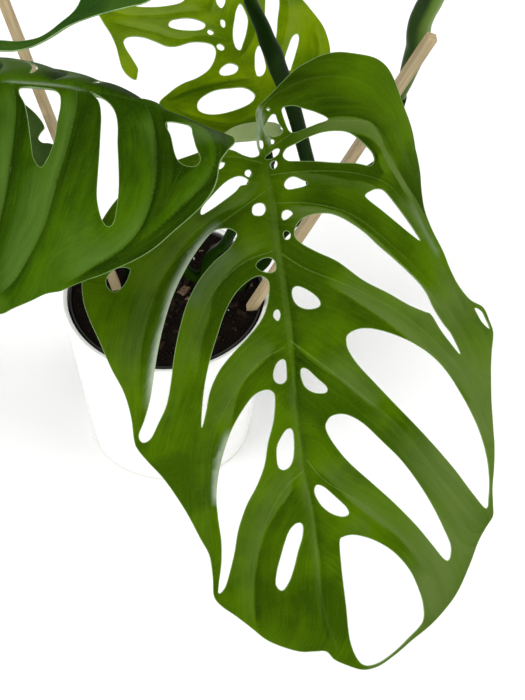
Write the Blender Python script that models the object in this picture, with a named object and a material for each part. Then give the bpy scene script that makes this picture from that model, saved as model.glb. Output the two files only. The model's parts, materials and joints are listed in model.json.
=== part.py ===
# Monstera epipremnoides in a nursery pot, standing in a plain white cover pot.
#
# Metres, +Z up. The origin is the middle of the cover pot's underside. +Y points away from the side
# that the big front leaf hangs down on, and +X is that leaf's right side.
# Leaf shapes are drawn flat, in millimetres: u runs across the leaf and v along its midrib, from the
# leaf stalk (0, 0) to the tip. A leaf's surface then bends the flat shape into place. A leaf's fold
# is the line beyond which its margin turns back: two points of the line, radius and angle.

import math

import bpy
import bmesh
import numpy as np
from mathutils import Matrix, Vector, noise
from mathutils.bvhtree import BVHTree
from mathutils.geometry import delaunay_2d_cdt

MM = 0.001
TOUCH = 0.3 * MM            # gap between pieces that touch

# Pots and soil
COVER_HEIGHT = 168 * MM
COVER_TOP_RADIUS = 88 * MM
COVER_FOOT_RADIUS = 72 * MM
COVER_WALL = 4 * MM
COVER_FLOOR = 6 * MM
COVER_EDGE = 1.2 * MM       # rounding of the rim and the foot
NURSERY_HEIGHT = 160.5 * MM
NURSERY_TOP_RADIUS = 82 * MM
NURSERY_FOOT_RADIUS = 63 * MM
NURSERY_WALL = 1.5 * MM
DRAIN_COUNT = 6
DRAIN_RADIUS = 4 * MM
DRAIN_CIRCLE = 44 * MM
POT_SIDES = 48
SOIL_LEVEL = 165 * MM
SOIL_RINGS = 5
SOIL_SIDES = 32
SOIL_LUMP = 1.6 * MM
CHIP_COUNT = 14
CHIP_SEED = 7

# Stakes: foot and top in millimetres, measured from the middle of the soil's surface
STAKE_SIDE = 8 * MM
STAKE_DEPTH = 70            # how far a stake reaches into the soil, in millimetres
STAKE_RIGHT = ((72, -18, 0), (209, -18, 298))
STAKE_LEFT = ((-42, 12, 0), (-120, 3, 379))
STEM_DEPTH = 30             # how far a stem reaches into the soil, in millimetres

# Leaf blades
BLADE = 0.9 * MM            # thickness of a blade
RIB = 4.2 * MM              # thickness of the midrib at the leaf stalk
RIB_SPREAD = 3.2            # half width of the midrib, in millimetres
VEIN_SPREAD = 9.0           # how far beside a side vein the blade is still rising, in millimetres
OUTLINE_STEP = 2.0          # spacing at which an outline's curve is followed, in millimetres
OUTLINE_SLACK = 0.5         # how far a faceted outline may stray from its curve, in millimetres
INNER_SPACING = 24.0        # spacing of the points inside a blade, in millimetres
EDGE_CLEAR = 3.0            # how far these stay from an edge, in millimetres
FOLD_ROWS = (-2, 0, 2, 4, 6.2, 12)      # rows of points beside a fold's line, in millimetres
FOLD_REACH = 110            # how far such a row may run from the line's first point
FOLD_STEP = 8               # spacing of the points in a row

LEAVES = {
    # The big leaf in the middle. It hangs towards -Y with its face up.
    "leaf_front": {
        "base": (76, -124, 291),
        "length": 374,
        "heading": (2, 4, 8, 8),
        "pitch": (-30, -38, -46, -56),
        "rise": ((8, 8, 6, 4), (14, 10, 8, 4)),
        "bend": ((-8, -8, -8, -6), (-34, -12, -10, -8)),
        "curl": ((-3, -3, -3, -3), (-14, -6, -4, -4)),
        "relief": 3.0,
        "midrib": [(1, 3), (1, 40), (3, 90), (4, 150), (5, 200), (5, 250), (4, 300), (5, 340), (11, 370)],
        "outline": [
            (-4, 3), (-9, 5), (-16, 3), (-24, -1), (-38, -3), (-52, 1), (-68, 6), (-90, 16),
            (-108, 28), (-122, 44), (-132, 60), (-139, 80), (-140, 97), (-137, 111), (-131, 128),
            (-125, 146), (-118, 163), (-115, 180), (-115, 196), (-113, 203), (-107, 212), (-97, 226),
            (-86, 248), (-78, 270), (-73, 284), (-73, 300), (-74, 313), (-70, 321), (-60, 331),
            (-50, 342), (-40, 353), (-28, 361), (-16, 367), (-5, 369), (3, 371), (8, 378), (17, 384),
            (28, 389), (40, 388), (52, 382), (66, 373), (81, 364), (95, 354), (106, 341), (116, 324),
            (125, 308), (133, 298), (139, 291), (140, 282), (141, 270), (144, 256), (147, 238),
            (148, 222), (149, 203), (151, 184), (154, 165), (157, 151), (155, 141), (151, 130),
            (141, 123), (134, 111), (130, 98), (127, 84), (121, 66), (118, 50), (119, 34), (122, 18),
            (123, 3), (122, -10), (119, -20), (113, -33), (108, -46), (103, -56), (97, -62),
            (88, -66), (74, -68), (60, -69), (48, -67), (38, -63), (28, -58), (18, -50), (10, -43),
            (4, -38), (-1, -34), (-4, -28), (-4, -20), (-5, -10), (-5, -3),
        ],
        "slots": [
            # between the upper strips on the right
            [(15, -28), (18, -30), (24, -30), (32, -27), (40, -24), (48, -19), (40, -16), (31, -13),
             (23, -11), (19.5, -12), (17, -18)],
            [(13, 6), (16, 1), (23, -2), (33, -6), (45, -9), (58, -9), (66, -6), (73, 0), (79, 7),
             (80, 13), (76, 17), (65, 15), (50, 14), (35, 12), (24, 11), (16, 10)],
            [(70, 40), (74, 37), (80, 35), (86, 37), (95, 50), (103, 63), (109, 75), (103, 71),
             (92, 61), (81, 51), (73, 44)],
            # the long slots on the right
            [(16, 65), (18, 58), (24, 53), (33, 51), (44, 52), (55, 58), (66, 67), (76, 78), (88, 90),
             (99, 102), (107, 115), (111, 127), (117, 139), (123, 149), (128, 164), (121, 154),
             (115, 144), (109, 132), (104, 129), (93, 123), (79, 113), (62, 102), (45, 87), (30, 78),
             (20, 71)],
            [(45, 146), (46, 141), (51, 138), (58, 137), (68, 139), (82, 145), (96, 154), (108, 165),
             (118, 180), (127, 199), (133, 215), (137, 230), (139, 246), (139, 262), (137, 275),
             (134, 284), (125, 271), (114, 252), (102, 233), (89, 214), (75, 195), (61, 176),
             (51, 162), (46, 152)],
            [(23, 206), (25, 200), (30, 197), (39, 198), (50, 206), (62, 221), (74, 237), (85, 257),
             (93, 275), (99, 292), (103, 306), (101, 316), (97, 315), (89, 302), (79, 286), (65, 267),
             (50, 249), (36, 232), (27, 217)],
            [(22, 290), (25, 286), (34, 286), (47, 292), (60, 303), (70, 318), (75, 333), (76, 346),
             (72, 357), (61, 368), (49, 376), (38, 381), (30, 381), (24, 373), (20, 358), (21, 336),
             (21, 310)],
            # the slots on the left
            [(-50, 45), (-49, 40), (-41, 32), (-32, 24), (-25, 20), (-19, 19), (-14, 22), (-15, 25),
             (-20, 26), (-24, 30), (-33, 36), (-43, 42)],
            [(-26, 62), (-28, 58), (-33, 56), (-42, 57), (-50, 64), (-60, 76), (-69, 89), (-77, 103),
             (-84, 119), (-90, 136), (-95, 153), (-100, 170), (-106, 184), (-111, 193), (-109, 198),
             (-103, 196), (-96, 186), (-89, 175), (-84, 160), (-80, 144), (-74, 125), (-66, 106),
             (-56, 91), (-44, 79), (-33, 71)],
            [(-6, 99), (-8, 94), (-13, 92), (-21, 95), (-31, 103), (-40, 116), (-47, 131), (-54, 147),
             (-59, 161), (-63, 176), (-66, 193), (-62, 184), (-57, 169), (-49, 156), (-38, 145),
             (-26, 135), (-15, 124), (-9, 113)],
            [(-11, 180), (-12, 175), (-17, 173), (-26, 176), (-36, 186), (-45, 198), (-52, 211),
             (-58, 226), (-62, 242), (-63, 258), (-63, 274), (-65, 290), (-69, 305), (-70, 312),
             (-65, 308), (-60, 297), (-55, 284), (-50, 268), (-42, 252), (-33, 240), (-25, 226),
             (-20, 210), (-14, 195)],
            [(-28, 313), (-26, 303), (-22, 293), (-18, 284), (-13, 275), (-7, 271), (-3, 273),
             (-4, 281), (-9, 292), (-13, 302), (-18, 312), (-24, 318)],
        ],
        "holes": [
            # along the midrib, and one near the left edge
            [(3, -19.5), (5, -23), (7.5, -25.5), (10, -25), (11, -21), (12.5, -17), (14.5, -13.5),
             (13, -10.5), (9, -9), (6, -9.5), (2.5, -13), (1.5, -16.5)],
            [(3.8, -30.5), (5.2, -31.5), (6.4, -30), (5, -28.8)],
            [(5, -6.6), (6.4, -7), (7.8, -5.8), (7, -3.8), (5.2, -4)],
            [(-3, -7.5), (-1, -7.2), (-0.6, -3.5), (-1.6, -1), (-3, -2.2)],
            [(0, 6), (3, 3), (8, 0), (11, 1), (9, 5), (4, 7)],
            [(3, 12), (4, 9.5), (8, 9.5), (8, 13), (5, 15)],
            [(12, 28), (14, 24), (19, 22), (25, 25), (29, 28), (26, 30), (20, 31), (14, 31)],
            [(8, 51), (9, 47), (13, 46), (16, 49), (13, 52), (9, 53)],
            [(8, 63), (10, 61), (13, 63.5), (12, 67), (9, 67)],
            [(10, 108), (11, 103), (15, 102), (22, 106), (28, 112), (29, 117), (24, 119), (17, 118),
             (12, 114)],
            [(10, 166), (11, 161), (15, 162), (21, 169), (27, 176), (26, 180), (18, 179), (12, 174)],
            [(9, 251), (11, 246), (16, 248), (23, 256), (30, 265), (31, 270), (26, 271), (18, 267),
             (12, 260)],
            [(-16, 18), (-15, 15), (-12, 14.5), (-11, 18), (-13, 20)],
            [(-36, 12), (-34, 8), (-30, 8), (-31, 11), (-34, 13)],
            [(-13, 46), (-12, 41), (-8, 39), (-4, 40), (-3, 44), (-6, 48), (-11, 48)],
            [(-14, 84), (-10, 80), (-4, 79), (0, 82), (0, 88), (-4, 90), (-11, 88)],
            [(-5, 122), (-4, 118), (-1, 117), (0, 121), (-2, 125)],
            [(-10, 163), (-7, 156), (-3, 153), (0, 154), (0, 162), (-1, 168), (-5, 170), (-9, 168)],
            [(-15, 227), (-14, 215), (-10, 208), (-5, 203), (-1, 204), (-1, 214), (-3, 224),
             (-7, 230), (-12, 231)],
            [(-122, 89), (-121, 83), (-114, 78), (-105, 79), (-106, 84), (-110, 90), (-117, 94)],
            [(144, 130), (149, 133), (152, 140), (154, 147), (149, 142), (146, 136)],
        ],
        "veins": [
            [(0, 2), (-1, -24), (8, -38), (40, -50), (78, -46), (104, -20), (114, 14)],
            [(3, 0), (30, -14), (60, -17), (85, -13), (99, 16), (112, 56), (122, 92)],
            [(3, 19), (30, 19), (66, 23), (92, 34), (112, 66), (128, 104), (136, 130)],
            [(4, 40), (30, 43), (58, 53), (84, 76), (108, 104), (126, 134), (142, 172)],
            [(4, 76), (22, 90), (56, 108), (88, 130), (116, 160), (134, 190), (144, 226)],
            [(5, 140), (18, 152), (45, 178), (74, 210), (102, 254), (126, 292)],
            [(6, 226), (18, 244), (46, 268), (70, 296), (88, 326), (92, 350)],
            [(-1, 10), (-28, 4), (-64, 14), (-100, 36), (-124, 68)],
            [(-1, 30), (-30, 48), (-60, 66), (-90, 96), (-108, 136), (-113, 180)],
            [(0, 74), (-24, 82), (-48, 102), (-66, 136), (-80, 172), (-96, 206)],
            [(1, 144), (-20, 154), (-44, 178), (-60, 206), (-68, 246), (-70, 290)],
            [(3, 234), (-16, 248), (-34, 276), (-42, 306), (-44, 336)],
        ],
    },
    # The second big leaf. It hangs at the left, with its tip away to -X.
    "leaf_left": {
        "base": (7, -181, 388),
        "length": 330,
        "heading": (-120, -98, -84, -66),
        "pitch": (5, -2, -14, -34),
        "rise": ((-44, -24, -14, -8), (-8, -8, -8, -8)),
        "bend": ((-30, -30, -30, -30), (-44, -40, -34, -26)),
        "curl": ((0, 0, 0, 0), (4, 3, 0, 0)),
        "relief": 4.5,
        "midrib": [(0, 2), (2, 40), (3, 90), (3, 140), (3, 200), (3, 260), (4, 312)],
        "outline": [
            (-5, 2), (-7, -8), (-7, -24), (-5, -40), (2, -52), (10, -51), (20, -50), (32, -54),
            (42, -55), (54, -53), (66, -48), (78, -42), (90, -36), (100, -29), (110, -20),
            (120, -10), (129, 0), (134, 10), (139, 20), (146, 35), (151, 50), (157, 66), (162, 82),
            (166, 97), (170, 112), (172, 130), (172, 148), (168, 168), (160, 190), (150, 212),
            (136, 236), (118, 260), (97, 282), (74, 300), (50, 316), (26, 328), (6, 336),
            (-10, 324), (-30, 304), (-48, 282), (-64, 256), (-76, 226), (-84, 194), (-86, 160),
            (-81, 128), (-70, 98), (-57, 72), (-44, 48), (-31, 28), (-20, 14), (-11, 8),
        ],
        "slots": [
            [(9, -4), (4, -18), (10, -24), (17, -30), (24, -37), (30, -37), (33, -31), (32, -25),
             (28, -20), (18, -12)],
            [(3, 56), (6, 48), (10, 40), (16, 33), (25, 27), (38, 21), (52, 13), (66, 5), (78, 0),
             (88, -2), (92, 1), (90, 8), (84, 15), (76, 21), (64, 26), (50, 31), (36, 36), (22, 41),
             (11, 47)],
            [(6.5, 92), (7, 82), (11, 76), (20, 73), (32, 72), (46, 71), (58, 73), (66, 77.5),
             (61, 85), (48, 90), (33, 95), (21, 99.5), (12, 105), (8, 105), (6.5, 99)],
            [(12, 134), (15, 126), (26, 121), (42, 119), (60, 121), (78, 128), (92, 140), (98, 150),
             (88, 150), (72, 145), (54, 142), (36, 143), (20, 146)],
            [(14, 178), (17, 171), (28, 167), (44, 168), (62, 174), (80, 185), (94, 200),
             (104, 216), (98, 218), (84, 208), (66, 198), (48, 191), (30, 188)],
            [(16, 217), (20, 211), (32, 210), (46, 215), (60, 225), (72, 238), (80, 252), (74, 252),
             (60, 242), (44, 233), (28, 228)],
            [(14, 256), (20, 251), (30, 256), (38, 266), (42, 278), (34, 274), (22, 266)],
            [(-10, 58), (-13, 56), (-22, 54.5), (-38, 59), (-52, 67.5), (-59, 75), (-50, 70),
             (-37, 62), (-22, 57.5)],
            [(-10, 101), (-13, 99), (-24, 98.5), (-42, 104), (-57, 113), (-67, 122), (-56, 116),
             (-42, 107.5), (-24, 102)],
            [(-10, 145), (-13, 142), (-24, 142), (-42, 149), (-57, 160), (-66, 173), (-56, 165),
             (-42, 154), (-24, 147)],
            [(-10, 190), (-13, 187), (-22, 188), (-36, 196), (-48, 208), (-55, 221), (-46, 212),
             (-35, 201), (-21, 193)],
            [(-10, 231), (-13, 228), (-20, 230), (-31, 239), (-39, 252), (-31, 245), (-20, 235)],
        ],
        "holes": [
            [(6, 160), (8, 157), (12, 158), (12, 162), (8, 164)],
            [(-9, 126), (-7, 123), (-3, 124), (-4, 129), (-7, 129)],
            [(-9, 171), (-7, 168), (-3, 169), (-4, 174), (-7, 174)],
            [(7, 204), (10, 201), (13, 203), (12, 207), (8, 207)],
        ],
        "veins": [
            [(0, -4), (1, -28), (14, -44), (34, -48), (60, -40), (85, -28), (106, -12)],
            [(2, 16), (14, 4), (32, -8), (56, -18), (82, -20), (106, -10), (126, 10), (140, 34)],
            [(3, 66), (16, 62), (40, 60), (70, 61), (100, 65), (122, 76), (142, 94), (156, 118)],
            [(3, 112), (18, 107), (40, 105), (70, 106), (100, 112), (128, 126), (150, 150)],
            [(3, 157), (20, 154), (44, 155), (70, 162), (98, 176), (122, 198), (136, 220)],
            [(3, 200), (20, 198), (44, 202), (68, 214), (88, 234), (100, 256)],
            [(3, 240), (20, 240), (40, 250), (56, 266), (64, 286)],
            [(0, 26), (-20, 24), (-42, 34), (-58, 54)],
            [(0, 84), (-22, 80), (-48, 86), (-74, 104)],
            [(0, 128), (-24, 123), (-50, 130), (-76, 152)],
            [(0, 172), (-22, 169), (-46, 180), (-68, 206)],
            [(0, 214), (-20, 213), (-40, 226), (-58, 248)],
        ],
    },
    # The young yellow-green leaf behind, with its tip away to +Y.
    "leaf_back": {
        "base": (82, 4, 218),
        "length": 262,
        "heading": (203, 204, 206, 208),
        "pitch": (22, 6, -14, -34),
        "rise": ((8, 8, 6, 4), (8, 8, 6, 4)),
        "bend": ((-20, -20, -16, -10), (-14, -14, -12, -10)),
        "curl": ((0, 0, 0, 0), (0, 0, 0, 0)),
        "relief": 1.8,
        "fold": ((40, -24), (0, -33.5), 2.4, 150),
        "midrib": [(-1, 2), (-3, 14), (-2, 40), (2, 62), (4, 90), (3, 130), (1, 180), (0, 236)],
        "outline": [
            (0, -8), (4, -13), (7, -18), (6, -23), (2, -26), (-2, -29), (-5, -34), (-5, -39),
            (0, -44), (8, -48), (20, -47), (32, -44), (42, -39), (50, -31), (56, -19), (62, -7),
            (68, 5), (74, 15), (78, 25),
            (66, 31), (54, 34), (41, 35), (30, 38), (22, 44), (16, 52), (15, 59), (20, 64),
            (30, 68), (42, 68), (50, 71), (56, 79), (63, 87), (72, 92), (78, 90), (80, 82),
            (80, 70), (80, 60), (82, 56), (86, 51), (90, 57), (91, 66), (89, 76), (86, 88),
            (84, 102), (83, 118), (81, 138), (76, 160), (68, 182), (56, 204), (42, 224), (24, 242),
            (8, 257), (-2, 262), (-14, 250), (-30, 232), (-44, 210), (-54, 186), (-61, 160),
            (-66, 132), (-69, 108), (-71, 90), (-72, 76), (-74, 62), (-76, 48), (-75, 36),
            (-71, 22), (-64, 10), (-52, 1), (-36, -6), (-22, -9), (-10, -10), (-4, -9),
        ],
        "slots": [
            [(3, 8), (6, 3), (13, 0), (25, -1), (38, 0), (47, 3), (52, 8), (50, 14), (43, 18),
             (32, 20), (20, 18), (9, 15)],
            [(5, 35), (7, 31), (12, 29), (20, 30), (22, 33), (18, 37), (10, 39)],
            [(11, 83), (13, 78), (19, 77), (28, 80), (35, 84), (39, 89), (35, 94), (28, 94),
             (19, 91)],
            [(-24, 88), (-24, 80), (-22, 71), (-15, 60), (-8, 52), (-4, 48), (-2, 51), (-3, 58),
             (-7, 67), (-13, 76), (-18, 83)],
            [(-19, 45), (-18, 35), (-15, 25), (-10, 20), (-6, 21), (-7, 27), (-10, 34), (-14, 41)],
            [(-27, 47), (-30, 42), (-35, 47), (-44, 62), (-54, 78), (-59, 94), (-61, 106),
             (-55, 100), (-46, 86), (-37, 70), (-30, 56)],
            [(-52, 43), (-50, 37), (-42, 27), (-35, 19), (-31, 15), (-30, 20), (-33, 27),
             (-40, 35), (-47, 42)],
            [(12, 118), (14, 112), (22, 110), (36, 113), (50, 120), (60, 131), (50, 133), (36, 129),
             (22, 124)],
            [(12, 152), (14, 146), (22, 145), (36, 150), (48, 159), (56, 170), (46, 169), (34, 163),
             (20, 158)],
            [(10, 188), (12, 182), (20, 183), (30, 191), (38, 203), (28, 201), (18, 195)],
            [(-10, 127), (-13, 119), (-20, 122), (-30, 132), (-40, 146), (-46, 160), (-38, 157),
             (-28, 146), (-17, 135)],
            [(-9, 161), (-12, 154), (-20, 158), (-30, 170), (-38, 184), (-30, 182), (-20, 172)],
            [(-8, 197), (-11, 191), (-18, 197), (-24, 209), (-17, 207)],
        ],
        "holes": [
            [(7, 56), (8, 53), (11, 52), (13, 55), (12, 58), (9, 59)],
            [(8, 72), (9, 70), (12, 70), (13, 73), (10, 75)],
            [(-5, 79), (-4, 75), (-2, 73), (-1, 76), (-3, 81)],
            [(-17, 102), (-14, 95), (-9, 91), (-8, 96), (-10, 103), (-14, 106)],
        ],
        "veins": [
            [(-1, 0), (10, -9), (32, -10), (54, 2), (68, 16)],
            [(-2, 22), (20, 25), (46, 27), (68, 26)],
            [(2, 62), (18, 71), (38, 75), (52, 88), (66, 102), (78, 116)],
            [(4, 96), (22, 100), (44, 106), (64, 118), (76, 138)],
            [(3, 132), (22, 134), (44, 142), (62, 158)],
            [(2, 168), (20, 170), (38, 181), (50, 198)],
            [(-2, 0), (-20, -6), (-44, 4), (-62, 24), (-70, 50)],
            [(-2, 26), (-22, 30), (-36, 38), (-50, 56), (-60, 76), (-67, 102)],
            [(0, 40), (-12, 48), (-24, 60), (-36, 82), (-48, 108), (-54, 130)],
            [(3, 88), (-12, 106), (-28, 120), (-44, 138), (-52, 160)],
            [(2, 140), (-14, 146), (-30, 158), (-42, 176)],
        ],
    },
    # The leaf at the top, on the thick dark stalk. Its long narrow tip points to -X.
    "leaf_upper": {
        "base": (57, -115, 470),
        "length": 190,
        "heading": (-90, -76, -65, -63, -72, -96),
        "pitch": (7, -8, -17, -14, -12, -3),
        "rise": ((12, 12, 10, 8, 6, 4), (34, 30, 20, 12, 6, 4)),
        "bend": ((-26, -26, -20, -10, -6, 0), (-22, -22, -16, -10, -6, 0)),
        "curl": ((0, 0, 0, 0, 0, 0), (0, 0, 0, 0, 0, 0)),
        "relief": 1.8,
        "midrib": [(0, 2), (1, 40), (1, 80), (2, 108), (4, 126), (6, 140), (5, 158), (1, 174)],
        "outline": [
            (3, -9), (12, -16), (24, -16), (36, -8), (45, 4), (49, 18), (49, 34), (46, 50),
            (42, 64), (36, 76), (29, 87), (22, 97), (15, 108), (10, 118), (7.5, 128), (8.5, 138),
            (10, 148), (9.5, 158), (7, 166), (4, 173), (-1, 186), (-6, 196), (-8.5, 196),
            (-8, 186), (-5.5, 172), (-2, 163), (1.2, 155), (3.6, 146), (2.6, 137), (0.2, 129),
            (-1.5, 121), (-4, 114), (-9, 107), (-17, 98), (-28, 87), (-38, 73), (-46, 57),
            (-50, 38), (-50, 20), (-46, 2), (-37, -11), (-22, -17), (-8, -12),
        ],
        "slots": [
            [(9, 20), (11, 15), (19, 12), (29, 13), (38, 19), (42, 27), (36, 29), (27, 26),
             (17, 24)],
            [(9, 48), (11, 43), (18, 42), (27, 46), (34, 53), (38, 61), (31, 60), (23, 55),
             (15, 51)],
            [(-9, 22), (-12, 16), (-22, 14), (-34, 19), (-42, 28), (-44, 37), (-36, 34), (-24, 28)],
            [(-9, 52), (-12, 46), (-20, 45), (-30, 51), (-37, 60), (-38, 68), (-30, 65), (-19, 57)],
        ],
        "holes": [
            [(8, 75), (11, 71), (17, 74), (22, 82), (15, 81)],
            [(-8, 79), (-11, 75), (-17, 79), (-20, 86), (-14, 86)],
        ],
        "veins": [
            [(0, 2), (14, -7), (32, -2), (44, 16)],
            [(1, 34), (20, 34), (38, 44), (44, 54)],
            [(1, 62), (18, 66), (32, 78)],
            [(0, 2), (-16, -7), (-32, 0), (-46, 18)],
            [(0, 36), (-20, 37), (-36, 48), (-44, 62)],
            [(0, 66), (-16, 71), (-30, 86)],
        ],
    },
    # The small leaf low at the left, under the left leaf.
    "leaf_low": {
        "base": (-72, -84, 190),
        "length": 168,
        "heading": (-128, -118, -104, -92),
        "pitch": (16, 4, -12, -30),
        "rise": ((22, 20, 14, 8), (10, 8, 6, 4)),
        "bend": ((-18, -18, -14, -10), (-26, -24, -18, -12)),
        "curl": ((0, 0, 0, 0), (0, 0, 0, 0)),
        "relief": 1.8,
        "midrib": [(0, 2), (1, 40), (1, 90), (0, 130), (0, 150)],
        "outline": [
            (2, -7), (10, -12), (22, -12), (36, -4), (48, 10), (56, 28), (58, 48), (55, 70),
            (48, 92), (38, 112), (26, 130), (14, 146), (4, 160), (-2, 168), (-10, 162),
            (-24, 150), (-40, 136), (-54, 121), (-65, 105), (-72, 90), (-73, 78), (-69, 70),
            (-63, 61), (-57, 54), (-53, 51), (-48, 51.5), (-43, 51), (-41, 47), (-43, 42),
            (-43, 34), (-36, 22), (-28, 12), (-20, 3), (-13, -5), (-6, -9),
        ],
        "slots": [
            [(9, 24), (11, 19), (20, 16), (34, 18), (46, 26), (50, 36), (42, 36), (30, 31),
             (18, 28)],
            [(9, 62), (11, 57), (19, 56), (32, 61), (42, 70), (46, 80), (36, 78), (24, 71)],
            [(-9, 30), (-12, 24), (-20, 24), (-30, 30), (-33, 37), (-24, 37), (-15, 35)],
            [(-9, 68), (-12, 62), (-22, 63), (-36, 72), (-48, 84), (-56, 97), (-46, 94),
             (-32, 84), (-18, 75)],
        ],
        "holes": [
            [(8, 98), (11, 95), (18, 99), (23, 108), (16, 107)],
            [(-8, 98), (-11, 95), (-17, 100), (-21, 109), (-14, 107)],
        ],
        "veins": [
            [(0, 2), (14, -5), (32, 0), (50, 20)],
            [(1, 42), (22, 42), (42, 52), (52, 66)],
            [(1, 80), (20, 86), (36, 104)],
            [(0, 4), (-14, 8), (-26, 18), (-36, 30)],
            [(0, 48), (-20, 50), (-40, 60), (-58, 76)],
            [(0, 86), (-20, 92), (-40, 108), (-52, 116)],
        ],
    },
}

# Stems and leaf stalks: points in millimetres from the middle of the soil's surface, each with the
# radius there. A stalk that carries a leaf ends under that leaf's base.
STEMS = {
    "stem_right": {
        "stem": [(62, 5, -STEM_DEPTH, 5.4), (62, 5, 0, 5.4), (80, 4, 34, 5.3), (100, 0, 73, 5.2),
                 (118, -3, 98, 5.2), (134, -5, 116, 4.4)],
        "stalks": [
            ([(127, -3, 105, 6.2), (123, -8, 134, 6.0), (115, -22, 182, 5.8), (106, -38, 236, 6.0),
              (99, -48, 272, 6.4), (90, -59, 310, 7.0), (86, -65, 330, 7.1), (81, -71, 349, 6.4),
              (77, -77, 368, 5.7), (68, -90, 404, 4.8), (62, -102, 443, 4.5)], "leaf_upper"),
            ([(66, 3, 14, 4.4), (86, -6, 46, 4.1), (89, -9, 98, 3.8), (88, -8, 153, 3.4),
              (83, 3, 200, 3.0)], "leaf_back"),
            ([(127, -4, 106, 4.6), (138, -3, 121, 4.2), (156, -1, 133, 3.8), (177, 2, 147, 3.8),
              (185, 4, 173, 4.0), (189, 4, 200, 4.6), (191, 3, 218, 5.2)], None),
        ],
    },
    "stem_middle": {
        "stem": [(32, 4, -STEM_DEPTH, 6.0), (32, 4, 0, 6.0), (32, 4, 14, 6.0), (31, 2, 24, 5.0)],
        "stalks": [
            ([(32, 3, 14, 5.2), (38, -20, 68, 4.9), (50, -63, 132, 4.5), (64, -81, 196, 4.1),
              (73, -104, 252, 3.8)], "leaf_front"),
            ([(30, 3, 14, 5.2), (16, -10, 44, 4.9), (7, -34, 104, 4.6), (3, -79, 197, 4.2),
              (0, -127, 289, 3.9), (3, -162, 350, 3.6)], "leaf_left"),
        ],
    },
    "stem_left": {
        "stem": [(-29, 25, -STEM_DEPTH, 5.0), (-29, 25, 0, 5.0), (-30, 23, 16, 4.8),
                 (-31, 20, 26, 4.0)],
        "stalks": [
            ([(-30, 22, 16, 4.2), (-33, 0, 60, 3.8), (-44, -36, 112, 3.3), (-60, -66, 156, 2.9)],
             "leaf_low"),
        ],
    },
}
STALK_SIDES = 10
STALK_STEP = 13.0           # spacing of a stalk's rings, in millimetres
STALK_NECK = 10.0           # length of the straight neck under a leaf, in millimetres
SEAT_INSET = 3.0            # how far beyond the midrib's first point the stalk meets it

# The new leaf, still rolled: points of its own axis, each with the radius there, in millimetres
NEW_LEAF = [
    (194, 3, 233, 6.2), (198, 3, 252, 8.0), (202, 4, 268, 9.6),
    (202, 4, 281, 9.8), (203, 4, 293, 9.5), (206, 4, 304, 9.4), (210, 4, 315, 9.6),
    (217, 4, 340, 10.4), (223, 3, 369, 10.8), (227, 2, 399, 9.8), (230, 1, 427, 7.6),
    (232, 0, 449, 4.8), (233, 0, 465, 1.2),
]
NEW_LEAF_SIDES = 12
NEW_LEAF_FOOT = 4           # length of its straight foot, in millimetres

COLOURS = {
    "white_glaze": ((0.80, 0.80, 0.78), 0.25),
    "black_plastic": ((0.012, 0.012, 0.012), 0.5),
    "soil": ((0.022, 0.015, 0.011), 0.95),
    "pale_wood": ((0.56, 0.44, 0.29), 0.7),
    "stem_green": ((0.035, 0.085, 0.022), 0.45),
    "leaf_green": ((0.045, 0.130, 0.008), 0.38),
    "young_green": ((0.160, 0.290, 0.006), 0.4),
}


def clear_scene():
    for item in list(bpy.data.objects):
        bpy.data.objects.remove(item, do_unlink=True)


def material(name):
    found = bpy.data.materials.get(name)
    if found:
        return found
    colour, roughness = COLOURS[name]
    made = bpy.data.materials.new(name)
    made.use_nodes = True
    shader = made.node_tree.nodes["Principled BSDF"]
    shader.inputs["Base Color"].default_value = (*colour, 1.0)
    shader.inputs["Roughness"].default_value = roughness
    return made


def add_object(name, mesh, finish):
    made = bpy.data.objects.new(name, mesh)
    bpy.context.scene.collection.objects.link(made)
    mesh.materials.clear()
    mesh.materials.append(material(finish))
    return made


def mesh_from(bm, name, angle=40):
    mesh = bpy.data.meshes.new(name)
    bm.to_mesh(mesh)
    bm.free()
    mesh.shade_smooth()
    mesh.set_sharp_from_angle(angle=math.radians(angle))
    return mesh


def over_soil(point):
    # from millimetres over the middle of the soil to metres in the part's frame
    return Vector(point) * MM + Vector((0, 0, SOIL_LEVEL))


def smooth_path(points, closed, step):
    # a Catmull-Rom curve through the points, followed in steps of about the given length
    points = np.array(points, float)
    count = len(points)
    spans = count if closed else count - 1
    places = []
    for i in range(spans):
        if closed:
            before, start, end, after = (points[(i + k) % count] for k in (-1, 0, 1, 2))
        else:
            start, end = points[i], points[i + 1]
            before = points[i - 1] if i > 0 else 2 * start - end
            after = points[i + 2] if i + 2 < count else 2 * end - start
        pieces = max(1, round(float(np.linalg.norm(end - start)) / step))
        for t in np.arange(pieces) / pieces:
            places.append(0.5 * (2 * start + (end - before) * t
                                 + (2 * before - 5 * start + 4 * end - after) * t * t
                                 + (3 * start - before - 3 * end + after) * t ** 3))
    if not closed:
        places.append(points[-1])
    return np.array(places)


def straighten(line, slack):
    # leaves out the points of an open line that lie within slack of the straight run beside them
    if len(line) < 3:
        return line
    start, end = line[0], line[-1]
    along = end - start
    length = max(float(np.linalg.norm(along)), 1e-9)
    away = np.abs(along[0] * (line[:, 1] - start[1]) - along[1] * (line[:, 0] - start[0])) / length
    if length < 1e-6:
        away = np.linalg.norm(line - start, axis=1)
    far = int(np.argmax(away))
    if away[far] < slack:
        return np.array([start, end])
    return np.vstack([straighten(line[:far + 1], slack)[:-1], straighten(line[far:], slack)])


def facet_outline(points):
    curve = smooth_path(points, True, OUTLINE_STEP)
    half = len(curve) // 2
    first = straighten(curve[:half + 1], OUTLINE_SLACK)
    second = straighten(np.vstack([curve[half:], curve[:1]]), OUTLINE_SLACK)
    return np.vstack([first[:-1], second[:-1]])


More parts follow.
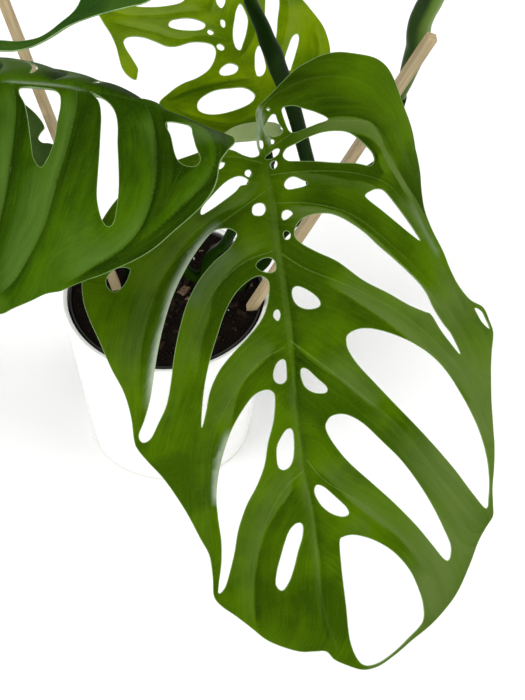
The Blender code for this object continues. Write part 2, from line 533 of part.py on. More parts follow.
def inside(polygon, places):
    # which of the places lie inside a closed polygon
    x, y = places[:, 0], places[:, 1]
    hit = np.zeros(len(places), bool)
    for a, b in zip(polygon, np.roll(polygon, -1, axis=0)):
        crosses = (a[1] > y) != (b[1] > y)
        run = (b[1] - a[1]) if b[1] != a[1] else 1e-12
        hit ^= crosses & (x < (b[0] - a[0]) * (y - a[1]) / run + a[0])
    return hit


def distance_to(line, places, closed=False):
    # shortest distance from each place to a line of points
    ends = np.roll(line, -1, axis=0) if closed else line[1:]
    starts = line if closed else line[:-1]
    nearest = np.full(len(places), np.inf)
    for a, b in zip(starts, ends):
        run = b - a
        t = np.clip(((places - a) @ run) / max(float(run @ run), 1e-12), 0, 1)
        nearest = np.minimum(nearest, np.linalg.norm(places - a - t[:, None] * run, axis=1))
    return nearest


class LeafSurface:
    """Bends a leaf's flat shape, in millimetres, into its place over the soil."""

    def __init__(self, leaf):
        self.leaf = leaf
        length = leaf["length"]
        back = 0.3 * length
        self.along = np.linspace(-back, 1.15 * length, 240)
        part = np.clip(self.along / length, 0, 1)
        heading = np.radians(self.ramp(leaf["heading"], part))
        pitch = np.radians(self.ramp(leaf["pitch"], part))
        forward = np.stack([np.sin(heading) * np.cos(pitch), -np.cos(heading) * np.cos(pitch),
                            np.sin(pitch)], axis=1)
        self.across = np.stack([np.cos(heading), np.sin(heading), 0 * heading], axis=1)
        self.up = np.cross(forward, self.across)
        step = self.along[1] - self.along[0]
        middle = np.zeros_like(forward)
        middle[1:] = np.cumsum((forward[1:] + forward[:-1]) / 2 * step, axis=0)
        start = self.read(middle, np.array([0.0]))[0]
        self.middle = middle - start + np.array(leaf["base"], float)
        self.midrib = smooth_path(leaf["midrib"], False, 8)
        self.veins = [smooth_path(vein, False, 8) for vein in leaf["veins"]]
        self.fold = None
        if "fold" in leaf:
            first, second, radius, turn = leaf["fold"]
            run = np.subtract(second, first) / math.dist(first, second)
            self.fold = (np.array(first, float), run, np.array([-run[1], run[0]]), radius,
                         math.radians(turn))

    @staticmethod
    def ramp(values, part):
        return np.interp(part, np.linspace(0, 1, len(values)), values)

    def read(self, table, v):
        return np.stack([np.interp(v, self.along, table[:, k]) for k in range(3)], axis=1)

    def relief(self, flat):
        # the blade rises on both sides of every vein, and most in the middle between two of them
        nearest = distance_to(self.midrib, flat)
        for vein in self.veins:
            nearest = np.minimum(nearest, distance_to(vein, flat))
        return self.leaf["relief"] * (1 - np.exp(-nearest / VEIN_SPREAD))

    def place(self, flat):
        places = self.spread(flat)
        if self.fold:
            # beyond the fold's line the blade runs round an arc and then straight on
            first, _, outward, radius, turn = self.fold
            past = (flat - first) @ outward
            outer = past > 0
            foot = flat[outer] - past[outer, None] * outward
            start = self.spread(foot)
            ahead = self.spread(foot + outward) - start
            ahead /= np.linalg.norm(ahead, axis=1)[:, None]
            beside = self.spread(foot + np.array([outward[1], -outward[0]])) - start
            up = np.cross(ahead, beside)
            up /= np.linalg.norm(up, axis=1)[:, None]
            angle = np.minimum(past[outer] / radius, turn)
            on = past[outer] - radius * angle
            forth = radius * np.sin(angle) + on * np.cos(angle)
            lift = radius * (1 - np.cos(angle)) + on * np.sin(angle)
            places[outer] = start + forth[:, None] * ahead + lift[:, None] * up
        return places

    def spread(self, flat):
        u, v = flat[:, 0], flat[:, 1]
        part = np.clip(v / self.leaf["length"], 0, 1)
        side = np.abs(u) / 100

        def of_side(name):
            left, right = self.leaf[name]
            return np.radians(np.where(u > 0, self.ramp(right, part), self.ramp(left, part)))

        rise, bend, curl = of_side("rise"), of_side("bend"), of_side("curl")
        out = np.zeros(len(flat))
        lift = np.zeros(len(flat))
        strips = 24
        for k in range(strips):
            reach = side * (k + 0.5) / strips
            slope = rise + bend * reach + curl * reach ** 2
            out += np.cos(slope) * np.abs(u) / strips
            lift += np.sin(slope) * np.abs(u) / strips
        lift += self.relief(flat)
        return (self.read(self.middle, v) + (np.sign(u) * out)[:, None] * self.read(self.across, v)
                + lift[:, None] * self.read(self.up, v))

    def facing(self, u, v):
        # a point of the surface and the direction that its upper side faces
        nudge = 2.0
        spots = self.place(np.array([(u, v), (u + nudge, v), (u, v + nudge)], float))
        normal = np.cross(spots[2] - spots[0], spots[1] - spots[0])
        return spots[0], normal / np.linalg.norm(normal)

    def seat(self, radius):
        # where the flat end of a stalk of this radius lies just under the blade
        u, v = self.leaf["midrib"][0]
        spot, facing = self.facing(u, v + SEAT_INSET)
        up = Vector(facing)
        below = over_soil(spot - facing * STALK_NECK)
        side = up.orthogonal().normalized() * radius * MM
        ring = [below + Matrix.Rotation(math.tau * k / STALK_SIDES, 3, up) @ side
                for k in range(STALK_SIDES)]
        reaches = [self.blade.ray_cast(place, up)[3] for place in [below, *ring]]
        reach = min(found for found in reaches if found) / MM
        return spot - facing * (STALK_NECK - reach + TOUCH / MM), facing

    def rib_weight(self, flat):
        slim = 1 - 0.85 * np.clip(flat[:, 1] / self.leaf["length"], 0, 1)
        return np.exp(-(distance_to(self.midrib, flat) / RIB_SPREAD) ** 2) * slim


def leaf_points(surface, loops):
    # points inside the blade: along the midrib and the veins, beside the midrib, and on a loose grid
    outline = loops[0]
    beside = []
    for offset in (-2.2 * RIB_SPREAD, 2.2 * RIB_SPREAD):
        beside.append(smooth_path(surface.leaf["midrib"], False, 16) + np.array([offset, 0]))
    lines = [smooth_path(surface.leaf["midrib"], False, 11), *beside]
    lines += [smooth_path(vein, False, 15)[1:] for vein in surface.leaf["veins"]]
    if surface.fold:
        first, run, outward = surface.fold[:3]
        spread = np.arange(-FOLD_REACH, FOLD_REACH, FOLD_STEP)[:, None] * run
        lines += [first + spread + row * outward for row in FOLD_ROWS]
    low, high = outline.min(axis=0), outline.max(axis=0)
    grid = []
    rows = np.arange(low[1], high[1], INNER_SPACING * 0.87)
    for row, v in enumerate(rows):
        shift = INNER_SPACING / 2 if row % 2 else 0
        grid += [(u + shift, v) for u in np.arange(low[0], high[0], INNER_SPACING)]
    kept = np.zeros((0, 2))
    for number, line in enumerate([*lines, np.array(grid)]):
        line = line[inside(outline, line)]
        for loop in loops:
            line = line[distance_to(loop, line, closed=True) > EDGE_CLEAR]
        for loop in loops[1:]:
            line = line[~inside(loop, line)]
        room = 0.45 * INNER_SPACING if number == len(lines) else 4.5
        for place in line:
            if len(kept) == 0 or np.linalg.norm(kept - place, axis=1).min() > room:
                kept = np.vstack([kept, place])
    return kept


def build_leaf(name, leaf, finish):
    surface = LeafSurface(leaf)
    loops = [facet_outline(loop) for loop in [leaf["outline"], *leaf["slots"], *leaf["holes"]]]
    flat = np.vstack([*loops, leaf_points(surface, loops)])
    edges = []
    start = 0
    for loop in loops:
        count = len(loop)
        edges += [(start + i, start + (i + 1) % count) for i in range(count)]
        start += count
    points, _, faces, *_ = delaunay_2d_cdt([Vector(p) for p in flat], edges, [], 0, 1e-6)
    flat = np.array([tuple(p) for p in points])
    centres = np.array([flat[list(face)].mean(axis=0) for face in faces])
    keep = inside(loops[0], centres)
    for loop in loops[1:]:
        keep &= ~inside(loop, centres)

    bm = bmesh.new()
    for place in surface.place(flat):
        bm.verts.new(over_soil(place))
    bm.verts.ensure_lookup_table()
    for face, kept in zip(faces, keep):
        if kept:
            bm.faces.new([bm.verts[i] for i in face])
    loose = [vert for vert in bm.verts if not vert.link_faces]
    used = [i for i, vert in enumerate(bm.verts) if vert.link_faces]
    bmesh.ops.delete(bm, geom=loose, context="VERTS")
    bmesh.ops.reverse_faces(bm, faces=bm.faces)
    blade = add_object(name, mesh_from(bm, name, angle=60), finish)

    ribs = blade.vertex_groups.new(name="rib")
    for index, weight in enumerate(surface.rib_weight(flat[used])):
        ribs.add([index], float(weight), "REPLACE")
    wall = blade.modifiers.new("thickness", "SOLIDIFY")
    wall.thickness = RIB
    wall.offset = -1
    wall.vertex_group = ribs.name
    wall.thickness_vertex_group = BLADE / RIB
    bpy.context.view_layer.update()
    surface.blade = BVHTree.FromObject(blade, bpy.context.evaluated_depsgraph_get())
    return surface


def tube(name, points, radii, sides=STALK_SIDES):
    # a closed round tube along the points, with its own radius at each of them
    curve = bpy.data.curves.new(name, "CURVE")
    curve.dimensions = "3D"
    curve.bevel_depth = 1.0
    curve.bevel_resolution = (sides - 4) // 2
    curve.use_fill_caps = True
    line = curve.splines.new("POLY")
    line.points.add(len(points) - 1)
    for spot, place, radius in zip(line.points, points, radii):
        spot.co = (*place, 1.0)
        spot.radius = radius
    holder = bpy.data.objects.new(name, curve)
    bpy.context.scene.collection.objects.link(holder)
    bpy.context.view_layer.update()
    drawn = holder.evaluated_get(bpy.context.evaluated_depsgraph_get())
    mesh = bpy.data.meshes.new_from_object(drawn)
    bpy.data.objects.remove(holder)
    bpy.data.curves.remove(curve)
    bm = bmesh.new()
    bm.from_mesh(mesh)
    bmesh.ops.remove_doubles(bm, verts=bm.verts, dist=0.00001)
    bmesh.ops.recalc_face_normals(bm, faces=bm.faces)
    bm.to_mesh(mesh)
    bm.free()
    mesh.shade_smooth()
    mesh.set_sharp_from_angle(angle=math.radians(50))
    return mesh


def stalk(points, surface):
    # a stalk's rings; with a leaf, it ends on a short neck that meets the leaf's base from below
    points = [np.array(p, float) for p in points]
    if surface:
        radius = points[-1][3]
        end, facing = surface.seat(radius)
        points += [np.append(end - facing * STALK_NECK, radius), np.append(end, radius)]
    path = smooth_path(points, False, STALK_STEP)
    return [over_soil(p[:3]) for p in path], path[:, 3] * MM


def build_stem(name, stem, surfaces):
    points, radii = stalk(stem["stem"], None)
    body = add_object(name, tube(name, points, radii), "stem_green")
    branches = bpy.data.collections.new(name + "_branches")
    bpy.context.scene.collection.children.link(branches)
    for number, (line, leaf) in enumerate(stem["stalks"]):
        points, radii = stalk(line, surfaces.get(leaf))
        mesh = tube(f"{name}_branch_{number}", points, radii)
        branches.objects.link(bpy.data.objects.new(mesh.name, mesh))
    union = body.modifiers.new("join", "BOOLEAN")
    union.operation = "UNION"
    union.operand_type = "COLLECTION"
    union.collection = branches
    union.solver = "EXACT"
    bpy.context.view_layer.update()
    drawn = body.evaluated_get(bpy.context.evaluated_depsgraph_get())
    joined = bpy.data.meshes.new_from_object(drawn)
    joined.name = name
    body.modifiers.clear()
    body.data = joined
    joined.materials.clear()
    joined.materials.append(material("stem_green"))
    for item in list(branches.objects):
        bpy.data.objects.remove(item, do_unlink=True)
    bpy.data.collections.remove(branches)


def turned(name, profile, sides=POT_SIDES):
    # spins a closed profile of (radius, height) points round the Z axis
    bm = bmesh.new()
    verts = [bm.verts.new((radius, 0, height)) for radius, height in profile]
    edges = [bm.edges.new(pair) for pair in zip(verts, verts[1:])]
    bmesh.ops.spin(bm, geom=[*verts, *edges], cent=(0, 0, 0), axis=(0, 0, 1), dvec=(0, 0, 0),
                   angle=math.tau, steps=sides, use_merge=True)
    bmesh.ops.remove_doubles(bm, verts=bm.verts, dist=0.00001)
    bmesh.ops.recalc_face_normals(bm, faces=bm.faces)
    return mesh_from(bm, name)


def build_cover_pot():
    top, foot, wall, edge = COVER_TOP_RADIUS, COVER_FOOT_RADIUS, COVER_WALL, COVER_EDGE
    profile = [
        (0, 0), (foot - edge, 0), (foot, edge), (top, COVER_HEIGHT - edge),
        (top - edge, COVER_HEIGHT), (top - wall + edge, COVER_HEIGHT),
        (top - wall, COVER_HEIGHT - edge), (foot - wall + edge, COVER_FLOOR + 2 * edge),
        (foot - wall - edge, COVER_FLOOR), (0, COVER_FLOOR),
    ]
    add_object("cover_pot", turned("cover_pot", profile), "white_glaze")


def nursery_radius(height):
    # outer radius of the nursery pot at a height over its own foot
    part = height / NURSERY_HEIGHT
    return NURSERY_FOOT_RADIUS + (NURSERY_TOP_RADIUS - NURSERY_FOOT_RADIUS) * part


def build_nursery_pot():
    foot_level = COVER_FLOOR + TOUCH
    top_level = foot_level + NURSERY_HEIGHT
    wall = NURSERY_WALL
    profile = [
        (0, foot_level), (NURSERY_FOOT_RADIUS, foot_level), (NURSERY_TOP_RADIUS, top_level),
        (NURSERY_TOP_RADIUS - wall, top_level), (NURSERY_FOOT_RADIUS - wall, foot_level + wall),
        (0, foot_level + wall),
    ]
    pot = add_object("nursery_pot", turned("nursery_pot", profile), "black_plastic")
    for number in range(DRAIN_COUNT):
        turn = math.tau * (number + 0.5) / DRAIN_COUNT
        bm = bmesh.new()
        bmesh.ops.create_cone(bm, cap_ends=True, segments=8, radius1=DRAIN_RADIUS,
                              radius2=DRAIN_RADIUS, depth=4 * wall)
        cutter = add_object(f"drain_{number}", mesh_from(bm, f"drain_{number}"), "black_plastic")
        cutter.location = (DRAIN_CIRCLE * math.cos(turn), DRAIN_CIRCLE * math.sin(turn), foot_level)
        cut_with(pot, cutter)


def cut_with(target, cutter):
    cutter.hide_render = True
    cutter.display_type = "WIRE"
    cut = target.modifiers.new(cutter.name, "BOOLEAN")
    cut.operation = "DIFFERENCE"
    cut.object = cutter


def stake_mesh(name, ends, side, below):
    # a square stick through the two ends, lengthened below the foot
    foot, top = (over_soil(end) for end in ends)
    run = (top - foot).normalized()
    start = foot - run * below
    length = (top - foot).length + below
    bm = bmesh.new()
    bmesh.ops.create_cube(bm, size=1.0)
    bmesh.ops.scale(bm, vec=(side, side, length), verts=bm.verts)
    bmesh.ops.translate(bm, vec=(0, 0, length / 2), verts=bm.verts)
    turn = run.to_track_quat("Z", "Y").to_matrix()
    bmesh.ops.rotate(bm, cent=(0, 0, 0), matrix=turn, verts=bm.verts)
    bmesh.ops.translate(bm, vec=start, verts=bm.verts)
    return mesh_from(bm, name)


def soil_height(x, y):
    spot = Vector((x, y, 0)) / (16 * MM)
    return SOIL_LEVEL + SOIL_LUMP * noise.noise(spot)


def build_soil():
    bottom = COVER_FLOOR + 2 * TOUCH + NURSERY_WALL
    foot = COVER_FLOOR + TOUCH
    clear = NURSERY_WALL + 2 * TOUCH
    low_radius = nursery_radius(bottom - foot) - clear
    top_radius = nursery_radius(SOIL_LEVEL - foot) - clear
    bm = bmesh.new()
    bmesh.ops.create_cone(bm, cap_ends=False, segments=SOIL_SIDES, radius1=low_radius,
                          radius2=top_radius, depth=SOIL_LEVEL - bottom)
    bmesh.ops.translate(bm, vec=(0, 0, (SOIL_LEVEL + bottom) / 2), verts=bm.verts)
    rims = [edge for edge in bm.edges if edge.is_boundary]
    base = [edge for edge in rims if edge.verts[0].co.z < (SOIL_LEVEL + bottom) / 2]
    bmesh.ops.edgeloop_fill(bm, edges=base)
    ring = [edge for edge in rims if edge not in base]
    for level in range(SOIL_RINGS - 1, 0, -1):
        made = bmesh.ops.extrude_edge_only(bm, edges=ring)["geom"]
        verts = [item for item in made if isinstance(item, bmesh.types.BMVert)]
        ring = [item for item in made if isinstance(item, bmesh.types.BMEdge)]
        shrink = level / (level + 1)
        bmesh.ops.scale(bm, vec=(shrink, shrink, 1), verts=verts)
    middle = bmesh.ops.edgeloop_fill(bm, edges=ring)["faces"]
    crown = bmesh.ops.poke(bm, faces=middle)["verts"]
    for vert in bm.verts:
        x, y, z = vert.co
        if z > SOIL_LEVEL - MM and math.hypot(x, y) < 0.95 * top_radius:
            vert.co.z = soil_height(x, y)
    for vert in crown:
        vert.co.z = soil_height(vert.co.x, vert.co.y)
    bmesh.ops.recalc_face_normals(bm, faces=bm.faces)
    soil = add_object("soil", mesh_from(bm, "soil"), "soil")
    add_chips(soil, top_radius)
    for number, ends in enumerate((STAKE_LEFT, STAKE_RIGHT)):
        name = f"stake_hole_{number}"
        hole = stake_mesh(name, ends, STAKE_SIDE + 2 * TOUCH, STAKE_DEPTH * MM + TOUCH)
        cut_with(soil, add_object(name, hole, "soil"))
    for name, stem in STEMS.items():
        points, radii = stalk(stem["stem"][:3], None)
        points[0] = points[0] - Vector((0, 0, TOUCH))
        hole = tube(name + "_hole", points, radii + 2 * TOUCH)
        cut_with(soil, add_object(name + "_hole", hole, "soil"))


def add_chips(soil, top_radius):
    # bark chips: flat blocks half sunk in the soil, clear of the stakes, the stems and each other
    taken = [Vector(ends[0][:2]) * MM for ends in (STAKE_LEFT, STAKE_RIGHT)]
    taken += [Vector(stem["stem"][1][:2]) * MM for stem in STEMS.values()]
    draw = np.random.default_rng(CHIP_SEED)
    chips = bpy.data.collections.new("chips")
    bpy.context.scene.collection.children.link(chips)
    while len(chips.objects) < CHIP_COUNT:
        turn, reach = draw.uniform(0, math.tau), top_radius * 0.86 * math.sqrt(draw.uniform(0, 1))
        long, wide, high = draw.uniform(7, 12) * MM, draw.uniform(4, 6) * MM, draw.uniform(3, 4) * MM
        spot = Vector((reach * math.cos(turn), reach * math.sin(turn)))
        yaw, lean = draw.uniform(0, math.pi), draw.uniform(-0.25, 0.25)
        if any((spot - other).length < 17 * MM for other in taken):
            continue
        taken.append(spot)
        bm = bmesh.new()
        bmesh.ops.create_cube(bm, size=1.0)
        bmesh.ops.scale(bm, vec=(long, wide, high), verts=bm.verts)
        turn_chip = Matrix.Rotation(yaw, 3, "Z") @ Matrix.Rotation(lean, 3, "X")
        bmesh.ops.rotate(bm, cent=(0, 0, 0), matrix=turn_chip, verts=bm.verts)
        bmesh.ops.translate(bm, vec=(spot.x, spot.y, soil_height(spot.x, spot.y)), verts=bm.verts)
        mesh = mesh_from(bm, f"chip_{len(chips.objects)}")
        chips.objects.link(bpy.data.objects.new(mesh.name, mesh))
    join = soil.modifiers.new("chips", "BOOLEAN")
    join.operation = "UNION"
    join.operand_type = "COLLECTION"
    join.collection = chips
    bpy.context.view_layer.update()
    drawn = soil.evaluated_get(bpy.context.evaluated_depsgraph_get())
    joined = bpy.data.meshes.new_from_object(drawn)
    soil.modifiers.clear()
    soil.data = joined
    joined.name = "soil"
    joined.materials.clear()
    joined.materials.append(material("soil"))
    for item in list(chips.objects):
        bpy.data.objects.remove(item, do_unlink=True)
    bpy.data.collections.remove(chips)


def build_new_leaf():
    # it stands on the end of its stalk and first runs straight on from it
    below = smooth_path(STEMS["stem_right"]["stalks"][2][0], False, STALK_STEP)
    run = below[-1] - below[-2]
    run /= np.linalg.norm(run[:3])
    run[3] = 0
    start = [below[-1] + run * TOUCH / MM, below[-1] + run * NEW_LEAF_FOOT]
    points, radii = stalk([*start, *NEW_LEAF], None)
    mesh = tube("leaf_new", points, radii, NEW_LEAF_SIDES)
    add_object("leaf_new", mesh, "young_green")


def main():
    clear_scene()
    surfaces = {}
    for name, leaf in LEAVES.items():
        finish = "young_green" if name == "leaf_back" else "leaf_green"
        surfaces[name] = build_leaf(name, leaf, finish)
    for name, stem in STEMS.items():
        build_stem(name, stem, surfaces)
    build_new_leaf()
    for name, ends in (("stake_left", STAKE_LEFT), ("stake_right", STAKE_RIGHT)):
        stake = stake_mesh(name, ends, STAKE_SIDE, STAKE_DEPTH * MM)
        add_object(name, stake, "pale_wood")
    build_cover_pot()
    build_nursery_pot()
    build_soil()


main()
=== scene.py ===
# Potted monstera: fine leaves, stalks, pots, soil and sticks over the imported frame.
# The scene is in metres, +Z up, with the origin in the middle of the cover pot's underside; leaves,
# stalks and sticks are given in millimetres from the middle of the soil's surface.
import json
import math

import bmesh
import bpy
import numpy as np
from mathutils import Matrix, Vector, kdtree, noise
from mathutils.bvhtree import BVHTree
from mathutils.geometry import delaunay_2d_cdt

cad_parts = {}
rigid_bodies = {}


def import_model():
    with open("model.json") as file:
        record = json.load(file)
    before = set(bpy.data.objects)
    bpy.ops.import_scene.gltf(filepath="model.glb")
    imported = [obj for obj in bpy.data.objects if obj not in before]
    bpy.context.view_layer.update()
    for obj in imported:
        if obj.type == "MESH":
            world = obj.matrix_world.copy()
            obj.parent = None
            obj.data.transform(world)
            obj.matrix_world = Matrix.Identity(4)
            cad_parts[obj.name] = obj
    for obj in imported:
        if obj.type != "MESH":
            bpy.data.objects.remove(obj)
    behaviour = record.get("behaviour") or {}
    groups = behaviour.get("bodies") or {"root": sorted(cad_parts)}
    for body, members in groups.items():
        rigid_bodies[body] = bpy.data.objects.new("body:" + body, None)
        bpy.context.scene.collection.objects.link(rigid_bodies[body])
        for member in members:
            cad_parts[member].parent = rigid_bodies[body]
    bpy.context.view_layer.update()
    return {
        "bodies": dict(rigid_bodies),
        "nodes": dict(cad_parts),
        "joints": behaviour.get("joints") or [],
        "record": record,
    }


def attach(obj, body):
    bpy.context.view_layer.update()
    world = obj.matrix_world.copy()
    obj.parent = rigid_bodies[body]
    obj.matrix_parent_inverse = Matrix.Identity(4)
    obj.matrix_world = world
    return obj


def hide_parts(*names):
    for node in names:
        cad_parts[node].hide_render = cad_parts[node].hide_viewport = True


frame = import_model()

mm = 0.001
soilLevel = 0.165          # height of the soil; leaves, stalks and sticks are drawn from its middle
print("frame loaded")


def overSoil(point):
    return Vector(point[:3]) * mm + Vector((0, 0, soilLevel))


def smoothPath(points, closed, step):
    # a curve through all the points, followed in steps of about the given length
    points = np.array(points, float)
    count = len(points)
    places = []
    for i in range(count if closed else count - 1):
        if closed:
            before, start, end, after = (points[(i + k) % count] for k in (-1, 0, 1, 2))
        else:
            start, end = points[i], points[i + 1]
            before = points[i - 1] if i > 0 else 2 * start - end
            after = points[i + 2] if i + 2 < count else 2 * end - start
        pieces = max(1, round(float(np.linalg.norm(end - start)) / step))
        for t in np.arange(pieces) / pieces:
            places.append(0.5 * (2 * start + (end - before) * t
                                 + (2 * before - 5 * start + 4 * end - after) * t * t
                                 + (3 * start - before - 3 * end + after) * t ** 3))
    if not closed:
        places.append(points[-1])
    return np.array(places)


def treeOf(places):
    tree = kdtree.KDTree(len(places))
    for number, place in enumerate(places):
        tree.insert((*place, 0) if len(place) == 2 else place, number)
    tree.balance()
    return tree


def finishPiece(name, bm, node, looks):
    # the mesh becomes a shown piece that stands for the CAD node
    mesh = bpy.data.meshes.new(name)
    bm.to_mesh(mesh)
    bm.free()
    mesh.shade_smooth()
    for look in looks:
        mesh.materials.append(look)
    piece = bpy.data.objects.new(name, mesh)
    bpy.context.scene.collection.objects.link(piece)
    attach(piece, "root")
    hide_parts(node)
    return piece


def addFacts(piece, kind, **facts):
    # stores a number or a vector for each vertex, which the materials read by its name
    key = "vector" if kind == "FLOAT_VECTOR" else "value"
    for name, values in facts.items():
        data = piece.data.attributes.new(name, kind, "POINT").data
        data.foreach_set(key, np.array(values, np.float32).ravel())


def applyModifiers(piece):
    # fixes what the modifiers make, so the piece is plain mesh from here on
    bpy.context.view_layer.update()
    drawn = piece.evaluated_get(bpy.context.evaluated_depsgraph_get())
    made = bpy.data.meshes.new_from_object(drawn)
    piece.modifiers.clear()
    piece.data = made


def addNode(tree, kind, inputs=None, **settings):
    # inputs: a socket name or number, with a value or another node's output
    node = tree.nodes.new("ShaderNode" + kind)
    for key, value in settings.items():
        setattr(node, key, value)
    for key, value in (inputs or {}).items():
        if isinstance(value, bpy.types.NodeSocket):
            tree.links.new(value, node.inputs[key])
        else:
            node.inputs[key].default_value = value
    return node


def calc(tree, operation, *terms, clamp=False):
    return addNode(tree, "Math", dict(enumerate(terms)), operation=operation, use_clamp=clamp).outputs[0]


def band(tree, value, start, end, low=0.0, high=1.0):
    # runs smoothly from low at start to high at end
    return addNode(tree, "MapRange", {"Value": value, 1: start, 2: end, 3: low, 4: high},
                   interpolation_type="SMOOTHSTEP").outputs[0]


def mixColour(tree, factor, first, second):
    return addNode(tree, "Mix", {0: factor, 6: first, 7: second}, data_type="RGBA").outputs[2]


def attribute(tree, name):
    return addNode(tree, "Attribute", attribute_name=name)


def addNoise(tree, place, scale, detail, roughness=0.5):
    return addNode(tree, "TexNoise", {"Vector": place, "Scale": scale, "Detail": detail,
                                      "Roughness": roughness}).outputs["Fac"]


def objectPlace(tree):
    return addNode(tree, "TexCoord").outputs["Object"]


def newGroup(name, inputs, outputs):
    group = bpy.data.node_groups.new(name, "ShaderNodeTree")
    for title, kind, value in inputs:
        socket = group.interface.new_socket(title, in_out="INPUT", socket_type="NodeSocket" + kind)
        socket.default_value = value
    for title, kind in outputs:
        group.interface.new_socket(title, in_out="OUTPUT", socket_type="NodeSocket" + kind)
    return group, group.nodes.new("NodeGroupInput").outputs, group.nodes.new("NodeGroupOutput").inputs


def newLook(name, roughness, shine=None):
    # a material with its Principled BSDF; the given values are set on the shader's own sockets
    look = bpy.data.materials.new(name)
    look.use_nodes = True
    tree = look.node_tree
    shader = tree.nodes["Principled BSDF"]
    shader.inputs["Roughness"].default_value = roughness
    for title, value in (shine or {}).items():
        shader.inputs[title].default_value = value
    return look, tree, shader


def addBump(tree, shader, height, strength, distance):
    bump = addNode(tree, "Bump", {"Strength": strength, "Distance": distance, "Height": height})
    tree.links.new(bump.outputs["Normal"], shader.inputs["Normal"])


def makeLeafTissue():
    # living leaf: blotches of two greens, streaks along the side veins, pale veins and a pale thin edge, with
    # painted shade, painted sheen and painted highlights laid over them
    group, given, out = newGroup("leafTissue", [
        ("Deep Green", "Color", (0.03, 0.09, 0.01, 1)), ("Fresh Green", "Color", (0.06, 0.16, 0.01, 1)),
        ("Vein Green", "Color", (0.16, 0.28, 0.07, 1)), ("Edge Green", "Color", (0.25, 0.4, 0.1, 1)),
        ("Shade Green", "Color", (0.01, 0.03, 0.002, 1)), ("Sheen Green", "Color", (0.1, 0.16, 0.05, 1)),
        ("Painted Highlight Green", "Color", (0.4, 0.46, 0.36, 1)),
        ("Vein Show", "Float", 0.4), ("Streak Show", "Float", 0.3), ("Blotch Scale", "Float", 3.0),
    ], [("Colour", "Color"), ("Roughness", "Float"), ("Height", "Float")])
    flat, flow = (attribute(group, name).outputs["Vector"] for name in ("flat", "flow"))
    rib, vein, edge, part, pleat, pale = (attribute(group, name).outputs["Fac"] for name in (
        "ribReach", "veinReach", "edgeReach", "veinPart", "pleat", "pale"))

    # two greens in blotches, mixed further by streaks that run along the side veins
    blotch = addNoise(group, flat, given["Blotch Scale"], 3.0, 0.55)
    stretched = addNode(group, "VectorMath", {0: flow, 1: (5.0, 46.0, 1.0)}, operation="MULTIPLY").outputs[0]
    streak = addNoise(group, stretched, 1.0, 2.0)
    tone = calc(group, "ADD", band(group, blotch, 0.36, 0.64),
                calc(group, "MULTIPLY", calc(group, "SUBTRACT", streak, 0.5), given["Streak Show"]),
                clamp=True)
    colour = mixColour(group, tone, given["Deep Green"], given["Fresh Green"])

    # painted shade on the shaded side of each fold and painted sheen on its lit side, and the listed patches
    # of painted shade and painted sheen
    uneven = band(group, addNoise(group, stretched, 0.35, 2.0), 0.3, 0.7, 0.65, 1.0)
    shade = calc(group, "MULTIPLY", calc(group, "MULTIPLY", pleat, -1.0, clamp=True), uneven)
    sheen = calc(group, "MULTIPLY", calc(group, "MULTIPLY", pleat, 1.0, clamp=True), uneven)
    colour = mixColour(group, shade, colour, given["Shade Green"])
    colour = mixColour(group, sheen, colour, given["Sheen Green"])

    # the fine net, the fine lines beside the veins, the veins and midrib, the edge and the painted highlights
    # along curled margins and ribs
    net = addNode(group, "TexVoronoi", {"Vector": flat, "Scale": 34.0}, feature="DISTANCE_TO_EDGE")
    netLine = band(group, net.outputs["Distance"], 0.0, 0.09, 1.0, 0.0)
    colour = mixColour(group, calc(group, "MULTIPLY", netLine, 0.05), colour, given["Vein Green"])
    fineLine = band(group, calc(group, "PINGPONG", vein, 2.6), 0.0, 0.32, 0.10, 0.0)
    colour = mixColour(group, calc(group, "MULTIPLY", fineLine, given["Vein Show"]), colour,
                       given["Vein Green"])
    taper = calc(group, "POWER", calc(group, "MULTIPLY_ADD", part, -0.92, 1.0), 2.2)
    veinLine = calc(group, "MULTIPLY", band(group, vein, 0.15, 0.8, 1.0, 0.0), taper)
    ribLine = band(group, rib, 0.4, 1.5, 0.18, 0.0)
    lines = calc(group, "MULTIPLY", calc(group, "MAXIMUM", veinLine, ribLine), given["Vein Show"])
    colour = mixColour(group, lines, colour, given["Vein Green"])
    edgeLine = band(group, edge, 0.1, 0.75, 0.75, 0.0)
    colour = mixColour(group, edgeLine, colour, given["Edge Green"])
    # painted highlights: pale lines where curled margins and ribs catch the light
    colour = mixColour(group, pale, colour, given["Painted Highlight Green"])

    grain = addNoise(group, flat, 160.0, 2.0)
    height = calc(group, "ADD", calc(group, "MULTIPLY", streak, 0.5),
                  calc(group, "MULTIPLY_ADD", grain, 0.12, calc(group, "MULTIPLY", netLine, -0.12)))
    group.links.new(colour, out["Colour"])
    group.links.new(calc(group, "MULTIPLY_ADD", grain, 0.12, calc(group, "MULTIPLY_ADD", blotch, 0.12, 0.29)),
                    out["Roughness"])
    group.links.new(height, out["Height"])
    return group


leafTissue = makeLeafTissue()


def addTissue(tree, values):
    tissue = addNode(tree, "Group", node_tree=leafTissue)
    for title, value in values.items():
        tissue.inputs[title].default_value = (*value, 1) if isinstance(value, tuple) else value
    return tissue.outputs


def makeLeafFace(leaf):
    look, tree, shader = newLook(leaf["face"], 0.4, {"Specular IOR Level": leaf["shine"],
                                                     "Specular Tint": (0.7, 1.0, 0.12, 1)})
    tissue = addTissue(tree, leaf["look"])
    tree.links.new(tissue["Colour"], shader.inputs["Base Color"])
    tree.links.new(tissue["Roughness"], shader.inputs["Roughness"])
    addBump(tree, shader, tissue["Height"], leaf["bump"], 0.0012)
    return look


